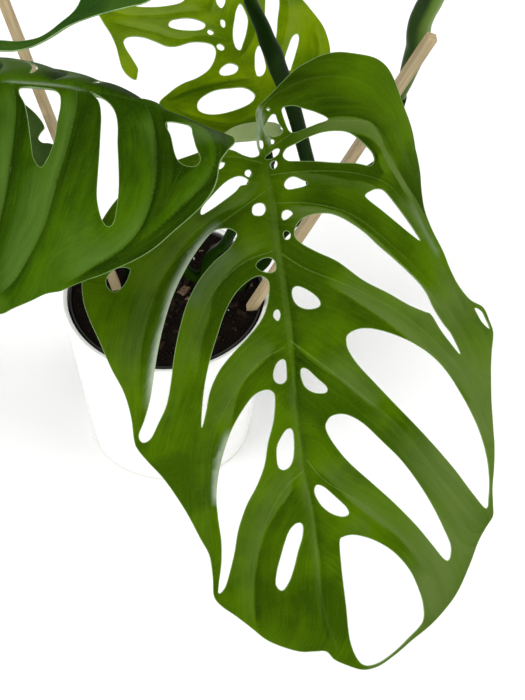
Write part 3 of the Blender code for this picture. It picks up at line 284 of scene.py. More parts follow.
def makeUnderside(name, colour, vein):
    # the pale dull underside, with its raised veins paler still
    look, tree, shader = newLook(name, 0.55, {"Specular IOR Level": 0.3})
    fresh = tuple(c * 1.25 for c in colour)
    tissue = addTissue(tree, {"Deep Green": colour, "Fresh Green": fresh, "Shade Green": colour,
                              "Sheen Green": fresh, "Vein Green": vein, "Edge Green": vein,
                              "Vein Show": 0.9, "Streak Show": 0.3, "Blotch Scale": 4.0})
    tree.links.new(tissue["Colour"], shader.inputs["Base Color"])
    addBump(tree, shader, tissue["Height"], 0.25, 0.001)
    return look


def makeRim(name, colour):
    # the cut-thin margin of a leaf
    look, tree, shader = newLook(name, 0.42)
    flat = attribute(tree, "flat").outputs["Vector"]
    patch = addNoise(tree, flat, 12.0, 2.0)
    darker = tuple(c * 0.55 for c in colour)
    tree.links.new(mixColour(tree, band(tree, patch, 0.35, 0.65), (*darker, 1), (*colour, 1)),
                   shader.inputs["Base Color"])
    return look


leafForm = {               # what all the leaves share; lengths in millimetres
    "blade": 0.9,          # thickness of the blade
    "rib": 4.2,            # thickness at the foot of the midrib
    "ribReach": 3.2,       # how far the midrib thickens the blade
    "ribSlim": 0.85,       # share of that which is lost towards the tip
    "vein": 0.24,          # height of a side vein underneath, as a share of the midrib's
    "veinReach": 1.1,
    "veinSlim": 0.8,
    "crown": 9.0,          # how soon the blade has risen beside a vein
    "rippleSize": 21,      # length of the ripples
    "rimEdge": 0.25,       # rounding of the cut edges
    "lineStep": 2.0,       # spacing of the points along veins and folds
    "ribRows": (-2.9, -1.4, 1.4, 2.9),      # rows of points beside the midrib
    # how far new points keep from the ones before them; that of the fill is a share of its spacing
    "room": {"rib": 0.7, "vein": 0.9, "beside": 0.8, "edge": 0.6, "fold": 0.7, "fill": 0.62},
    "bendSteps": 24,       # steps in which each half is bent
}


def offsetRows(loop, reach):
    # the loop's points moved sideways by reach, on both sides
    run = np.roll(loop, -1, axis=0) - np.roll(loop, 1, axis=0)
    run /= np.maximum(np.linalg.norm(run, axis=1), 1e-9)[:, None]
    aside = np.stack([run[:, 1], -run[:, 0]], axis=1) * reach
    return np.vstack([loop + aside, loop - aside])


def onBlade(loops, places):
    # which places lie inside the outline and outside every slot and hole
    x, y = places[:, 0], places[:, 1]
    hit = np.zeros(len(places), bool)
    for loop in loops:
        for a, b in zip(loop, np.roll(loop, -1, axis=0)):
            if a[1] != b[1]:
                crosses = (a[1] > y) != (b[1] > y)
                hit ^= crosses & (x < (b[0] - a[0]) * (y - a[1]) / (b[1] - a[1]) + a[0])
    return hit


def reachTo(lines, places):
    # for each place: distance to the nearest line, how far along that line it is, its part and number
    spots, facts = [], []
    for number, line in enumerate(lines):
        dense = smoothPath(line, False, 0.6)
        run = np.concatenate([[0], np.cumsum(np.linalg.norm(np.diff(dense, axis=0), axis=1))])
        spots.append(dense)
        facts += [(along, along / run[-1], number) for along in run]
    tree = treeOf(np.vstack(spots))
    found = [tree.find((*place, 0))[1:] for place in places]
    facts = np.array(facts)[[index for index, _ in found]]
    return np.array([reach for _, reach in found]), facts


def bendLeaf(leaf, flat, lift):
    # the leaf's shape in space; beyond its fold the blade runs round an arc and then straight on
    places = spreadLeaf(leaf, flat, lift)
    if "fold" not in leaf:
        return places
    first, second, radius, turn = leaf["fold"]
    run = np.subtract(second, first) / math.dist(first, second)
    outward = np.array([-run[1], run[0]])
    past = (flat - first) @ outward
    outer = past > 0
    foot, raised = flat[outer] - past[outer, None] * outward, lift[outer]
    start = spreadLeaf(leaf, foot, raised)
    ahead, beside = (spreadLeaf(leaf, foot + way, raised) - start for way in (outward, run))
    ahead /= np.linalg.norm(ahead, axis=1)[:, None]
    up = np.cross(ahead, beside)
    up /= np.linalg.norm(up, axis=1)[:, None]
    angle = np.minimum(past[outer] / radius, math.radians(turn))
    on = past[outer] - radius * angle
    forth = radius * np.sin(angle) + on * np.cos(angle)
    high = radius * (1 - np.cos(angle)) + on * np.sin(angle)
    places[outer] = start + forth[:, None] * ahead + high[:, None] * up
    return places


def fadeEnds(part, start=0.15):
    # 1 along a line, and down to 0 at both its ends
    return np.clip(part / start, 0, 1) * np.clip((1 - part) / 0.15, 0, 1)


def pleatTone(lines, flat):
    # +1 on the lit side of each fold's line, which is on its left, -1 on its shaded side, 0 far away; a
    # single point gives a round patch, of painted sheen where its strength is above 0 and of painted shade
    # below. The value raises the folds and paints their light and shade
    tone = np.zeros(len(flat))
    for width, weight, line in lines:
        if len(line) == 1:
            tone += weight * np.exp(-(np.linalg.norm(flat - line[0], axis=1) / width) ** 2)
            continue
        dense = smoothPath(line, False, 0.8)
        run = np.gradient(dense, axis=0)
        part = np.linspace(0, 1, len(dense))
        tree = treeOf(dense)
        found = np.array([tree.find((*place, 0))[1] for place in flat])
        away = flat - dense[found]
        reach = np.linalg.norm(away, axis=1)
        side = run[found, 0] * away[:, 1] - run[found, 1] * away[:, 0]
        ends = fadeEnds(part[found], 0.1)
        tone += weight * ends * np.sign(side) * np.tanh(reach / 0.8) * np.exp(-reach / width)
    return np.clip(tone, -1, 1)


def spreadLeaf(leaf, flat, lift):
    # carries the flat shape (u across, v along, in millimetres) into its place; lift is added upwards
    def ramp(values, part):
        return np.interp(part, np.linspace(0, 1, len(values)), values)

    length = leaf["length"]
    along = np.linspace(-0.3 * length, 1.15 * length, 240)
    part = np.clip(along / length, 0, 1)
    heading, pitch = np.radians(ramp(leaf["heading"], part)), np.radians(ramp(leaf["pitch"], part))
    forward = np.stack([np.sin(heading) * np.cos(pitch), -np.cos(heading) * np.cos(pitch), np.sin(pitch)], 1)
    across = np.stack([np.cos(heading), np.sin(heading), 0 * heading], 1)
    up = np.cross(forward, across)
    middle = np.zeros_like(forward)
    middle[1:] = np.cumsum((forward[1:] + forward[:-1]) / 2 * (along[1] - along[0]), axis=0)

    def read(table, v):
        return np.stack([np.interp(v, along, table[:, k]) for k in range(3)], axis=1)

    middle = middle - read(middle, np.array([0.0]))[0] + np.array(leaf["base"], float)
    u, v = flat[:, 0], flat[:, 1]
    part = np.clip(v / length, 0, 1)
    rise, bend, curl = (np.radians(np.where(u > 0, ramp(leaf[name][1], part), ramp(leaf[name][0], part)))
                        for name in ("rise", "bend", "curl"))
    out, raised = np.zeros(len(flat)), np.array(lift, float)
    steps = leafForm["bendSteps"]
    for k in range(steps):
        reach = np.abs(u) / 100 * (k + 0.5) / steps
        slope = rise + bend * reach + curl * reach ** 2
        out += np.cos(slope) * np.abs(u) / steps
        raised += np.sin(slope) * np.abs(u) / steps
    return read(middle, v) + (np.sign(u) * out)[:, None] * read(across, v) + raised[:, None] * read(up, v)


def fillLeaf(leaf):
    # the flat blade: dense rows beside every edge and vein, and an even fill between them
    loops = [smoothPath(loop, True, leaf["edgeStep"]) for loop in [leaf["outline"], *leaf["slots"],
                                                                    *leaf["holes"]]]
    lineStep = leafForm["lineStep"]
    veins = [smoothPath(vein, False, lineStep)[1:] for vein in leaf["veins"]]
    midrib = smoothPath(leaf["midrib"], False, lineStep)
    low, high = loops[0].min(axis=0), loops[0].max(axis=0)
    step = leaf["fillStep"]
    grid = [(u + (step / 2 if row % 2 else 0), v) for row, v in
            enumerate(np.arange(low[1], high[1], step * 0.866)) for u in np.arange(low[0], high[0], step)]
    room = leafForm["room"]
    rows = [(midrib, room["rib"]), *((vein, room["vein"]) for vein in veins),
            (np.vstack([midrib + (aside, 0) for aside in leafForm["ribRows"]]), room["beside"]),
            *((offsetRows(vein, leafForm["veinReach"]), room["beside"]) for vein in veins),
            *((offsetRows(loop, 1.0), room["edge"]) for loop in loops)]
    for _, _, line in leaf["pleats"]:
        if len(line) > 1:
            dense = smoothPath(line, False, lineStep)
            rows += [(dense, room["fold"]), (offsetRows(dense, 1.0), room["fold"])]
    if "fold" in leaf:      # close rows along the fold, where the blade bends
        first, second = leaf["fold"][:2]
        run = np.subtract(second, first) / math.dist(first, second)
        spread = np.arange(-40, 100, 2)[:, None] * run
        aside = np.array([-run[1], run[0]])
        rows += [(first + spread + row * aside, room["edge"]) for row in range(-1, 8)]
    rows.append((np.array(grid), room["fill"] * step))
    kept = np.vstack(loops)
    for line, apart in rows:
        line = line[onBlade(loops, line)]
        tree = treeOf(kept)
        line = line[[tree.find((*place, 0))[2] > apart for place in line]] if len(line) else line
        kept = np.vstack([kept, line])
    edges, start = [], 0
    for loop in loops:
        edges += [(start + i, start + (i + 1) % len(loop)) for i in range(len(loop))]
        start += len(loop)
    points, _, faces, *_ = delaunay_2d_cdt([Vector(place) for place in kept], edges, [], 0, 1e-6)
    flat = np.array([tuple(point) for point in points])
    inner = onBlade(loops, np.array([flat[list(face)].mean(axis=0) for face in faces]))
    return flat, [face for face, keep in zip(faces, inner) if keep], np.vstack(loops)


def buildLeaf(leaf, underside):
    # relief, ripples and the rolled margin lift the flat blade, which is then bent, thickened and rounded
    flat, faces, edgeLine = fillLeaf(leaf)
    ribReach, _ = reachTo([leaf["midrib"]], flat)
    veinReach, veinFacts = reachTo(leaf["veins"], flat)
    edgeTree = treeOf(edgeLine)
    edgeReach = np.array([edgeTree.find((*place, 0))[2] for place in flat])
    size = leafForm["rippleSize"]
    ripple = np.array([noise.noise((u / size, v / size, leaf["length"])) for u, v in flat])
    lift = leaf["relief"] * (1 - np.exp(-np.minimum(ribReach, veinReach) / leafForm["crown"]))
    lift += leaf["ripple"] * ripple - leaf["roll"] * np.exp(-(edgeReach / leaf["rollReach"]) ** 1.5)
    # the folds' relief, and their painted sheen and painted shade with the listed patches
    width, weight = leaf["veinFoldAndPaintedLight"]
    pleat = pleatTone([*leaf["pleats"], *((width, weight, vein) for vein in leaf["veins"])], flat)
    lift += leaf["step"] * pleat
    # painted highlights along the listed lines
    pale = np.zeros(len(flat))
    for width, weight, line in leaf["paintedHighlightLines"]:
        reach, facts = reachTo([line], flat)
        pale = np.maximum(pale, weight * fadeEnds(facts[:, 1]) * np.exp(-(reach / width) ** 2))
    places = bendLeaf(leaf, flat, lift)

    bm = bmesh.new()
    for place in places:
        bm.verts.new(overSoil(place))
    bm.verts.ensure_lookup_table()
    for face in faces:
        bm.faces.new([bm.verts[i] for i in face])
    bmesh.ops.reverse_faces(bm, faces=bm.faces)
    used = np.array([bool(vert.link_faces) for vert in bm.verts])
    bmesh.ops.delete(bm, geom=[vert for vert in bm.verts if not vert.link_faces], context="VERTS")
    looks = [makeLeafFace(leaf), underside, leafRim]
    piece = finishPiece(leaf["piece"], bm, leaf["node"], looks)

    flat, ribReach, veinReach, edgeReach, veinFacts, pleat, pale = (
        values[used] for values in (flat, ribReach, veinReach, edgeReach, veinFacts, pleat, pale))
    addFacts(piece, "FLOAT", ribReach=ribReach, veinReach=veinReach, edgeReach=edgeReach,
             veinPart=veinFacts[:, 1], pleat=pleat, pale=pale)
    addFacts(piece, "FLOAT_VECTOR",
             flow=np.stack([veinFacts[:, 0] / 100, veinReach / 100, veinFacts[:, 2] * 7.3], 1),
             flat=np.column_stack([flat / 100, np.full(len(flat), leaf["length"] / 100)]))

    slim = 1 - leafForm["ribSlim"] * np.clip(flat[:, 1] / leaf["length"], 0, 1)
    weight = np.exp(-(ribReach / leafForm["ribReach"]) ** 2) * slim
    raised = leafForm["vein"] * np.exp(-(veinReach / leafForm["veinReach"]) ** 2)
    raised *= (1 - leafForm["veinSlim"] * veinFacts[:, 1]) * np.clip((edgeReach - 1) / 3, 0, 1)
    weight = np.maximum(weight, raised)
    ribs = piece.vertex_groups.new(name="rib")
    for index, value in enumerate(weight):
        ribs.add([index], float(value), "REPLACE")
    wall = piece.modifiers.new("thickness", "SOLIDIFY")
    wall.thickness = leafForm["rib"] * mm
    wall.offset = -1
    wall.vertex_group = ribs.name
    wall.thickness_vertex_group = leafForm["blade"] / leafForm["rib"]
    wall.material_offset = 1
    wall.material_offset_rim = 2
    applyModifiers(piece)
    sharp = math.radians(60)
    piece.data.set_sharp_from_angle(angle=sharp)
    soften = piece.modifiers.new("edge", "BEVEL")
    soften.width = leafForm["rimEdge"] * mm
    soften.segments = 2
    soften.limit_method = "ANGLE"
    soften.angle_limit = sharp
    soften.material = 2
    applyModifiers(piece)
    print(f"{leaf['piece']}: {len(piece.data.polygons)} faces")
    return piece


dullUnderside = makeUnderside("leafUnderside", (0.050, 0.110, 0.030), (0.13, 0.21, 0.08))
youngUnderside = makeUnderside("youngUnderside", (0.20, 0.26, 0.095), (0.30, 0.36, 0.16))
leafRim = makeRim("leafRim", (0.16, 0.26, 0.08))

leafDefaults = {           # a leaf's own dictionary says where it differs
    "relief": 1.8,         # how far the blade rises between the veins, in millimetres
    "edgeStep": 1.6,       # spacing of the points along the edges
    "fillStep": 2.2,       # spacing of the points between them
    "ripple": 0.5,         # height of the ripples
    "roll": 0.8,           # how far the margins curl down
    "rollReach": 3.5,      # width of the curled margin
    "step": 0.4,           # height of the folds
    "veinFoldAndPaintedLight": (8, 0.5),  # width and strength of the fold along each side vein, which has painted sheen on one side and painted shade on the other
    "pleats": [],          # more folds with painted sheen and painted shade, and patches of painted sheen (strength above 0) and painted shade (below 0): (width, strength, points)
    "paintedHighlightLines": [],       # painted highlights along curled margins and ribs: (width, strength, points)
    "shine": 0.035,
    "bump": 0.3,
}

# A leaf is drawn flat in millimetres: u across, v along the midrib from the stalk's end, which is at base
# over the soil. Heading and pitch turn the midrib from foot to tip, in degrees. Rise, bend and curl give
# each half, left then right, its slope at the midrib and how that changes outwards.
frontLeaf = {**leafDefaults,       # the big leaf in the middle
    "piece": "frontLeafBlade", "node": "leaf_front", "slot": "leaf_green",
    "base": (76, -124, 291),
    "length": 374,
    "heading": (2, 4, 8, 8),
    "pitch": (-30, -38, -46, -56),
    "rise": ((8, 8, 6, 4), (14, 10, 8, 4)),
    "bend": ((-8, -8, -8, -6), (-34, -12, -10, -8)),
    "curl": ((-3, -3, -3, -3), (-14, -6, -4, -4)),
    "relief": 3.0,
    "fillStep": 2.6,
    "ripple": 0.7,
    "roll": 1.5,
    "rollReach": 4.5,
    "step": 0.5,
    "veinFoldAndPaintedLight": (9, 0.12),
    # folds with painted sheen and painted shade, and patches of painted sheen and painted shade
    "pleats": [
        (3.2, 0.95, [(1, 10), (4, 39), (5, 67), (6, 92), (7, 118), (7, 141), (6, 165), (4, 190),
                 (4, 215), (4, 237), (6, 263), (6, 288), (5, 316), (3, 344), (4, 366)]),
        (11, 1.0, [(34, -17), (47, -19.5), (61, -20), (75, -18), (82, -15), (87, -8), (91, 3),
                 (96, 14), (104, 29), (113, 46), (124, 72)]),
        (9, 0.95, [(106, 44), (96, 25), (89, 11), (84, 1), (75, -5), (66, -7.5), (54, -9.5), (42, -9),
                 (31, -6), (20, 2)]),
        (9, 0.7, [(88, 24), (84, 16), (84, 6)]),
        (9, 0.6, [(14, 18), (24, 19), (39, 22), (56, 27), (74, 31), (86, 38)]),
        (12, 0.9, [(10, 43), (22, 44), (39, 47), (53, 53), (66, 64), (77, 75), (88, 88), (98, 100),
                 (109, 113), (118, 128)]),
        (14, 0.9, [(134, 206), (129, 196), (117, 178), (103, 161), (92, 151), (82, 141), (71, 131),
                 (58, 120), (44, 109), (33, 101)]),
        (12, 0.6, [(62, 198), (50, 186), (37, 172), (24, 161), (12, 149), (6, 143)]),
        (12, 0.6, [(84, 324), (66, 295), (49, 277), (33, 260), (18, 241), (6, 228)]),
        (10, 0.7, [(-3, 232), (-9, 248), (-22, 262), (-34, 280), (-43, 307), (-46, 334), (-44, 350)]),
        (9, 0.7, [(-4, 142), (-11, 149), (-20, 156), (-29, 163), (-36, 172), (-42, 186), (-46, 200)]),
        (9, 0.6, [(-4, 70), (-12, 74), (-24, 80), (-37, 90), (-46, 102), (-51, 116), (-58, 134),
                 (-66, 160)]),
        (10, 0.5, [(-2, 24), (-18, 38), (-40, 48), (-62, 64), (-84, 92), (-100, 130), (-108, 170)]),
        (26, 0.75, [(122, 120)]),
        (30, 0.75, [(136, 185)]),
        (34, 0.8, [(124, 262)]),
        (24, 0.5, [(100, 236)]),
        (34, 0.9, [(100, 312)]),
        (28, 0.8, [(76, 350)]),
        (24, 0.75, [(138, 220)]),
        (20, 0.3, [(-108, 115)]),
        (20, 0.4, [(71, -44)]),
        (22, 0.35, [(45, 178)]),
        (14, 0.5, [(40, 277)]),
        (12, 0.45, [(3, 250)]),
        (12, -0.7, [(76, 4)]),
        (16, -0.45, [(14, 150)]),
        (26, -0.3, [(-22, 326)]),
        (20, -0.6, [(24, -52)]),
        (18, -0.4, [(-112, 110)]),
        (28, -0.4, [(38, -40)]),
        (26, -0.35, [(92, -44)]),
        (20, -0.45, [(20, 110)]),
        (34, -0.2, [(-44, 330)]),
        (16, -0.25, [(-4, 366)]),
        (16, -0.4, [(14, 205)]),
        (20, -0.35, [(60, -30)]),
        (24, 0.25, [(112, -30)]),
    ],
    # painted highlights along curled margins and ribs
    "paintedHighlightLines": [
        (2.4, 0.72, [(-36, 51), (-45, 58), (-56, 70), (-66, 83), (-76, 99), (-83, 117), (-90, 133),
                 (-95, 149), (-99, 164), (-103, 178)]),
        (7.0, 0.06, [(-27, 70), (-42, 81), (-54, 90), (-61, 101), (-66, 112)]),
        (1.8, 0.6, [(-46, 196), (-50, 203), (-57, 218), (-62, 234), (-64, 250)]),
        (2.0, 0.14, [(104, 44), (110, 56), (116, 72), (123, 90)]),
        (3.0, 0.05, [(70, 366), (58, 374), (46, 382), (36, 387), (27, 386)]),
        (1.3, 0.5, [(-3.2, -38), (-2, -27), (-3, -14), (-4, -6), (-3, 2)]),
        (1.2, 0.5, [(0, -34), (-0.5, -24), (1, -15), (4, -8), (4.5, -2)]),
    ],
    "face": "frontLeafFace",
    "look": {
        "Deep Green": (0.024, 0.056, 0.0002), "Fresh Green": (0.051, 0.106, 0.0003),
        "Shade Green": (0.009, 0.024, 0.0001), "Sheen Green": (0.077, 0.12, 0.025),
        "Vein Green": (0.13, 0.22, 0.04), "Edge Green": (0.22, 0.34, 0.12),
        "Vein Show": 0.42, "Streak Show": 1.0, "Blotch Scale": 1.6,
    },
    "bump": 0.4,
    "midrib": [(1, 3), (1, 40), (3, 90), (4, 150), (5, 200), (5, 250), (4, 300), (5, 340), (11, 370)],
    "outline": [
        (-4, 3), (-9, 5), (-16, 3), (-24, -1), (-38, -3), (-52, 1), (-68, 6), (-90, 16), (-108, 28),
        (-122, 44), (-132, 60), (-139, 80), (-140, 97), (-137, 111), (-131, 128), (-125, 146),
        (-118, 163), (-115, 180), (-115, 196), (-113, 203), (-107, 212), (-97, 226), (-86, 248),
        (-78, 270), (-73, 284), (-73, 300), (-74, 313), (-70, 321), (-60, 331), (-50, 342), (-40, 353),
        (-28, 361), (-16, 367), (-5, 369), (3, 371), (8, 378), (17, 384), (28, 389), (40, 388),
        (52, 382), (66, 373), (81, 364), (95, 354), (106, 341), (116, 324), (125, 308), (133, 298),
        (139, 291), (140, 282), (141, 270), (144, 256), (147, 238), (148, 222), (149, 203), (151, 184),
        (154, 165), (157, 151), (155, 141), (151, 130), (141, 123), (134, 111), (130, 98), (127, 84),
        (121, 66), (118, 50), (119, 34), (122, 18), (123, 3), (122, -10), (119, -20), (113, -33),
        (108, -46), (103, -56), (97, -62), (88, -66), (74, -68), (60, -69), (48, -67), (38, -63),
        (28, -58), (18, -50), (10, -43), (4, -38), (-1, -34), (-4, -28), (-4, -20), (-5, -10), (-5, -3),
    ],
    "slots": [
        [(15, -28), (18, -30), (24, -30), (32, -27), (40, -24), (48, -19), (40, -16), (31, -13),
         (23, -11), (19.5, -12), (17, -18)],
        [(13, 6), (16, 1), (23, -2), (33, -6), (45, -9), (58, -9), (66, -6), (73, 0), (79, 7),
         (80, 13), (76, 17), (65, 15), (50, 14), (35, 12), (24, 11), (16, 10)],
        [(70, 40), (74, 37), (80, 35), (86, 37), (95, 50), (103, 63), (109, 75), (103, 71), (92, 61),
         (81, 51), (73, 44)],
        [(16, 65), (18, 58), (24, 53), (33, 51), (44, 52), (55, 58), (66, 67), (76, 78), (88, 90),
         (99, 102), (107, 115), (111, 127), (117, 139), (123, 149), (128, 164), (121, 154), (115, 144),
         (109, 132), (104, 129), (93, 123), (79, 113), (62, 102), (45, 87), (30, 78), (20, 71)],
        [(45, 146), (46, 141), (51, 138), (58, 137), (68, 139), (82, 145), (96, 154), (108, 165),
         (118, 180), (127, 199), (133, 215), (137, 230), (139, 246), (139, 262), (137, 275),
         (134, 284), (125, 271), (114, 252), (102, 233), (89, 214), (75, 195), (61, 176), (51, 162),
         (46, 152)],
        [(23, 206), (25, 200), (30, 197), (39, 198), (50, 206), (62, 221), (74, 237), (85, 257),
         (93, 275), (99, 292), (103, 306), (101, 316), (97, 315), (89, 302), (79, 286), (65, 267),
         (50, 249), (36, 232), (27, 217)],
        [(22, 290), (25, 286), (34, 286), (47, 292), (60, 303), (70, 318), (75, 333), (77.5, 347),
         (75.5, 360), (63, 371), (51.5, 379.5), (41, 385), (31, 386), (25, 380), (21, 364), (21, 336),
         (21, 310)],
        [(-50, 45), (-49, 40), (-41, 32), (-32, 24), (-25, 20), (-19, 19), (-14, 22), (-15, 25),
         (-20, 26), (-24, 30), (-33, 36), (-43, 42)],
        [(-26, 62), (-28, 58), (-33, 56), (-42, 57), (-50, 64), (-60, 76), (-69, 89), (-77, 103),
         (-84, 119), (-90, 136), (-95, 153), (-100, 170), (-106, 184), (-111, 193), (-109, 198),
         (-103, 196), (-96, 186), (-89, 175), (-84, 160), (-80, 144), (-74, 125), (-66, 106),
         (-56, 91), (-44, 79), (-33, 71)],
        [(-6, 99), (-8, 94), (-13, 92), (-21, 95), (-31, 103), (-40, 116), (-47, 131), (-54, 147),
         (-59, 161), (-63, 176), (-66, 193), (-62, 184), (-57, 169), (-49, 156), (-38, 145),
         (-26, 135), (-15, 124), (-9, 113)],
        [(-11, 180), (-12, 175), (-17, 173), (-26, 176), (-36, 186), (-45, 198), (-52, 211),
         (-58, 226), (-62, 242), (-63, 258), (-63, 274), (-65, 290), (-69, 305), (-70, 312),
         (-65, 308), (-60, 297), (-55, 284), (-50, 268), (-42, 252), (-33, 240), (-25, 226),
         (-20, 210), (-14, 195)],
        [(-28, 313), (-26, 303), (-22, 293), (-18, 284), (-13, 275), (-7, 271), (-3, 273), (-4, 281),
         (-9, 292), (-13, 302), (-18, 312), (-24, 318)],
    ],
    "holes": [
        [(3, -19.5), (5, -23), (7.5, -25.5), (10, -25), (11, -21), (12.5, -17), (14.5, -13.5),
         (13, -10.5), (9, -9), (6, -9.5), (2.5, -13), (1.5, -16.5)],
        [(3.8, -30.5), (5.2, -31.5), (6.4, -30), (5, -28.8)],
        [(5, -6.6), (6.4, -7), (7.8, -5.8), (7, -3.8), (5.2, -4)],
        [(-3, -7.5), (-1, -7.2), (-0.6, -3.5), (-1.6, -1), (-3, -2.2)],
        [(0, 6), (3, 3), (8, 0), (11, 1), (9, 5), (4, 7)],
        [(3, 12), (4, 9.5), (8, 9.5), (8, 13), (5, 15)],
        [(12, 28), (14, 24), (19, 22), (25, 25), (29, 28), (26, 30), (20, 31), (14, 31)],
        [(8, 51), (9, 47), (13, 46), (16, 49), (13, 52), (9, 53)],
        [(8, 63), (10, 61), (13, 63.5), (12, 67), (9, 67)],
        [(10, 108), (11, 103), (15, 102), (22, 106), (28, 112), (29, 117), (24, 119), (17, 118),
         (12, 114)],
        [(10, 166), (11, 161), (15, 162), (21, 169), (27, 176), (26, 180), (18, 179), (12, 174)],
        [(9, 251), (11, 246), (16, 248), (23, 256), (30, 265), (31, 270), (26, 271), (18, 267),
         (12, 260)],
        [(-16, 18), (-15, 15), (-12, 14.5), (-11, 18), (-13, 20)],
        [(-36, 12), (-34, 8), (-30, 8), (-31, 11), (-34, 13)],
        [(-13, 46), (-12, 41), (-8, 39), (-4, 40), (-3, 44), (-6, 48), (-11, 48)],
        [(-14, 84), (-10, 80), (-4, 79), (0, 82), (0, 88), (-4, 90), (-11, 88)],
        [(-5, 122), (-4, 118), (-1, 117), (0, 121), (-2, 125)],
        [(-10, 163), (-7, 156), (-3, 153), (0, 154), (0, 162), (-1, 168), (-5, 170), (-9, 168)],
        [(-15, 227), (-14, 215), (-10, 208), (-5, 203), (-1, 204), (-1, 214), (-3, 224), (-7, 230),
         (-12, 231)],
        [(-122, 89), (-121, 83), (-114, 78), (-105, 79), (-106, 84), (-110, 90), (-117, 94)],
        [(144, 130), (149, 133), (152, 140), (154, 147), (149, 142), (146, 136)],
    ],
    "veins": [
        [(0, 2), (-1, -24), (8, -38), (40, -50), (78, -46), (104, -20), (114, 14)],
        [(3, 0), (30, -14), (60, -17), (85, -13), (99, 16), (112, 56), (122, 92)],
        [(3, 19), (30, 19), (66, 23), (92, 34), (112, 66), (128, 104), (136, 130)],
        [(4, 40), (30, 43), (58, 53), (84, 76), (108, 104), (126, 134), (142, 172)],
        [(4, 76), (22, 90), (56, 108), (88, 130), (116, 160), (134, 190), (144, 226)],
        [(5, 140), (18, 152), (45, 178), (74, 210), (102, 254), (126, 292)],
        [(6, 226), (18, 244), (46, 268), (70, 296), (88, 326), (92, 350)],
        [(-1, 10), (-28, 4), (-64, 14), (-100, 36), (-124, 68)],
        [(-1, 30), (-30, 48), (-60, 66), (-90, 96), (-108, 136), (-113, 180)],
        [(0, 74), (-24, 82), (-48, 102), (-66, 136), (-80, 172), (-96, 206)],
        [(1, 144), (-20, 154), (-44, 178), (-60, 206), (-68, 246), (-70, 290)],
        [(3, 234), (-16, 248), (-34, 276), (-42, 306), (-44, 336)],
    ],
}


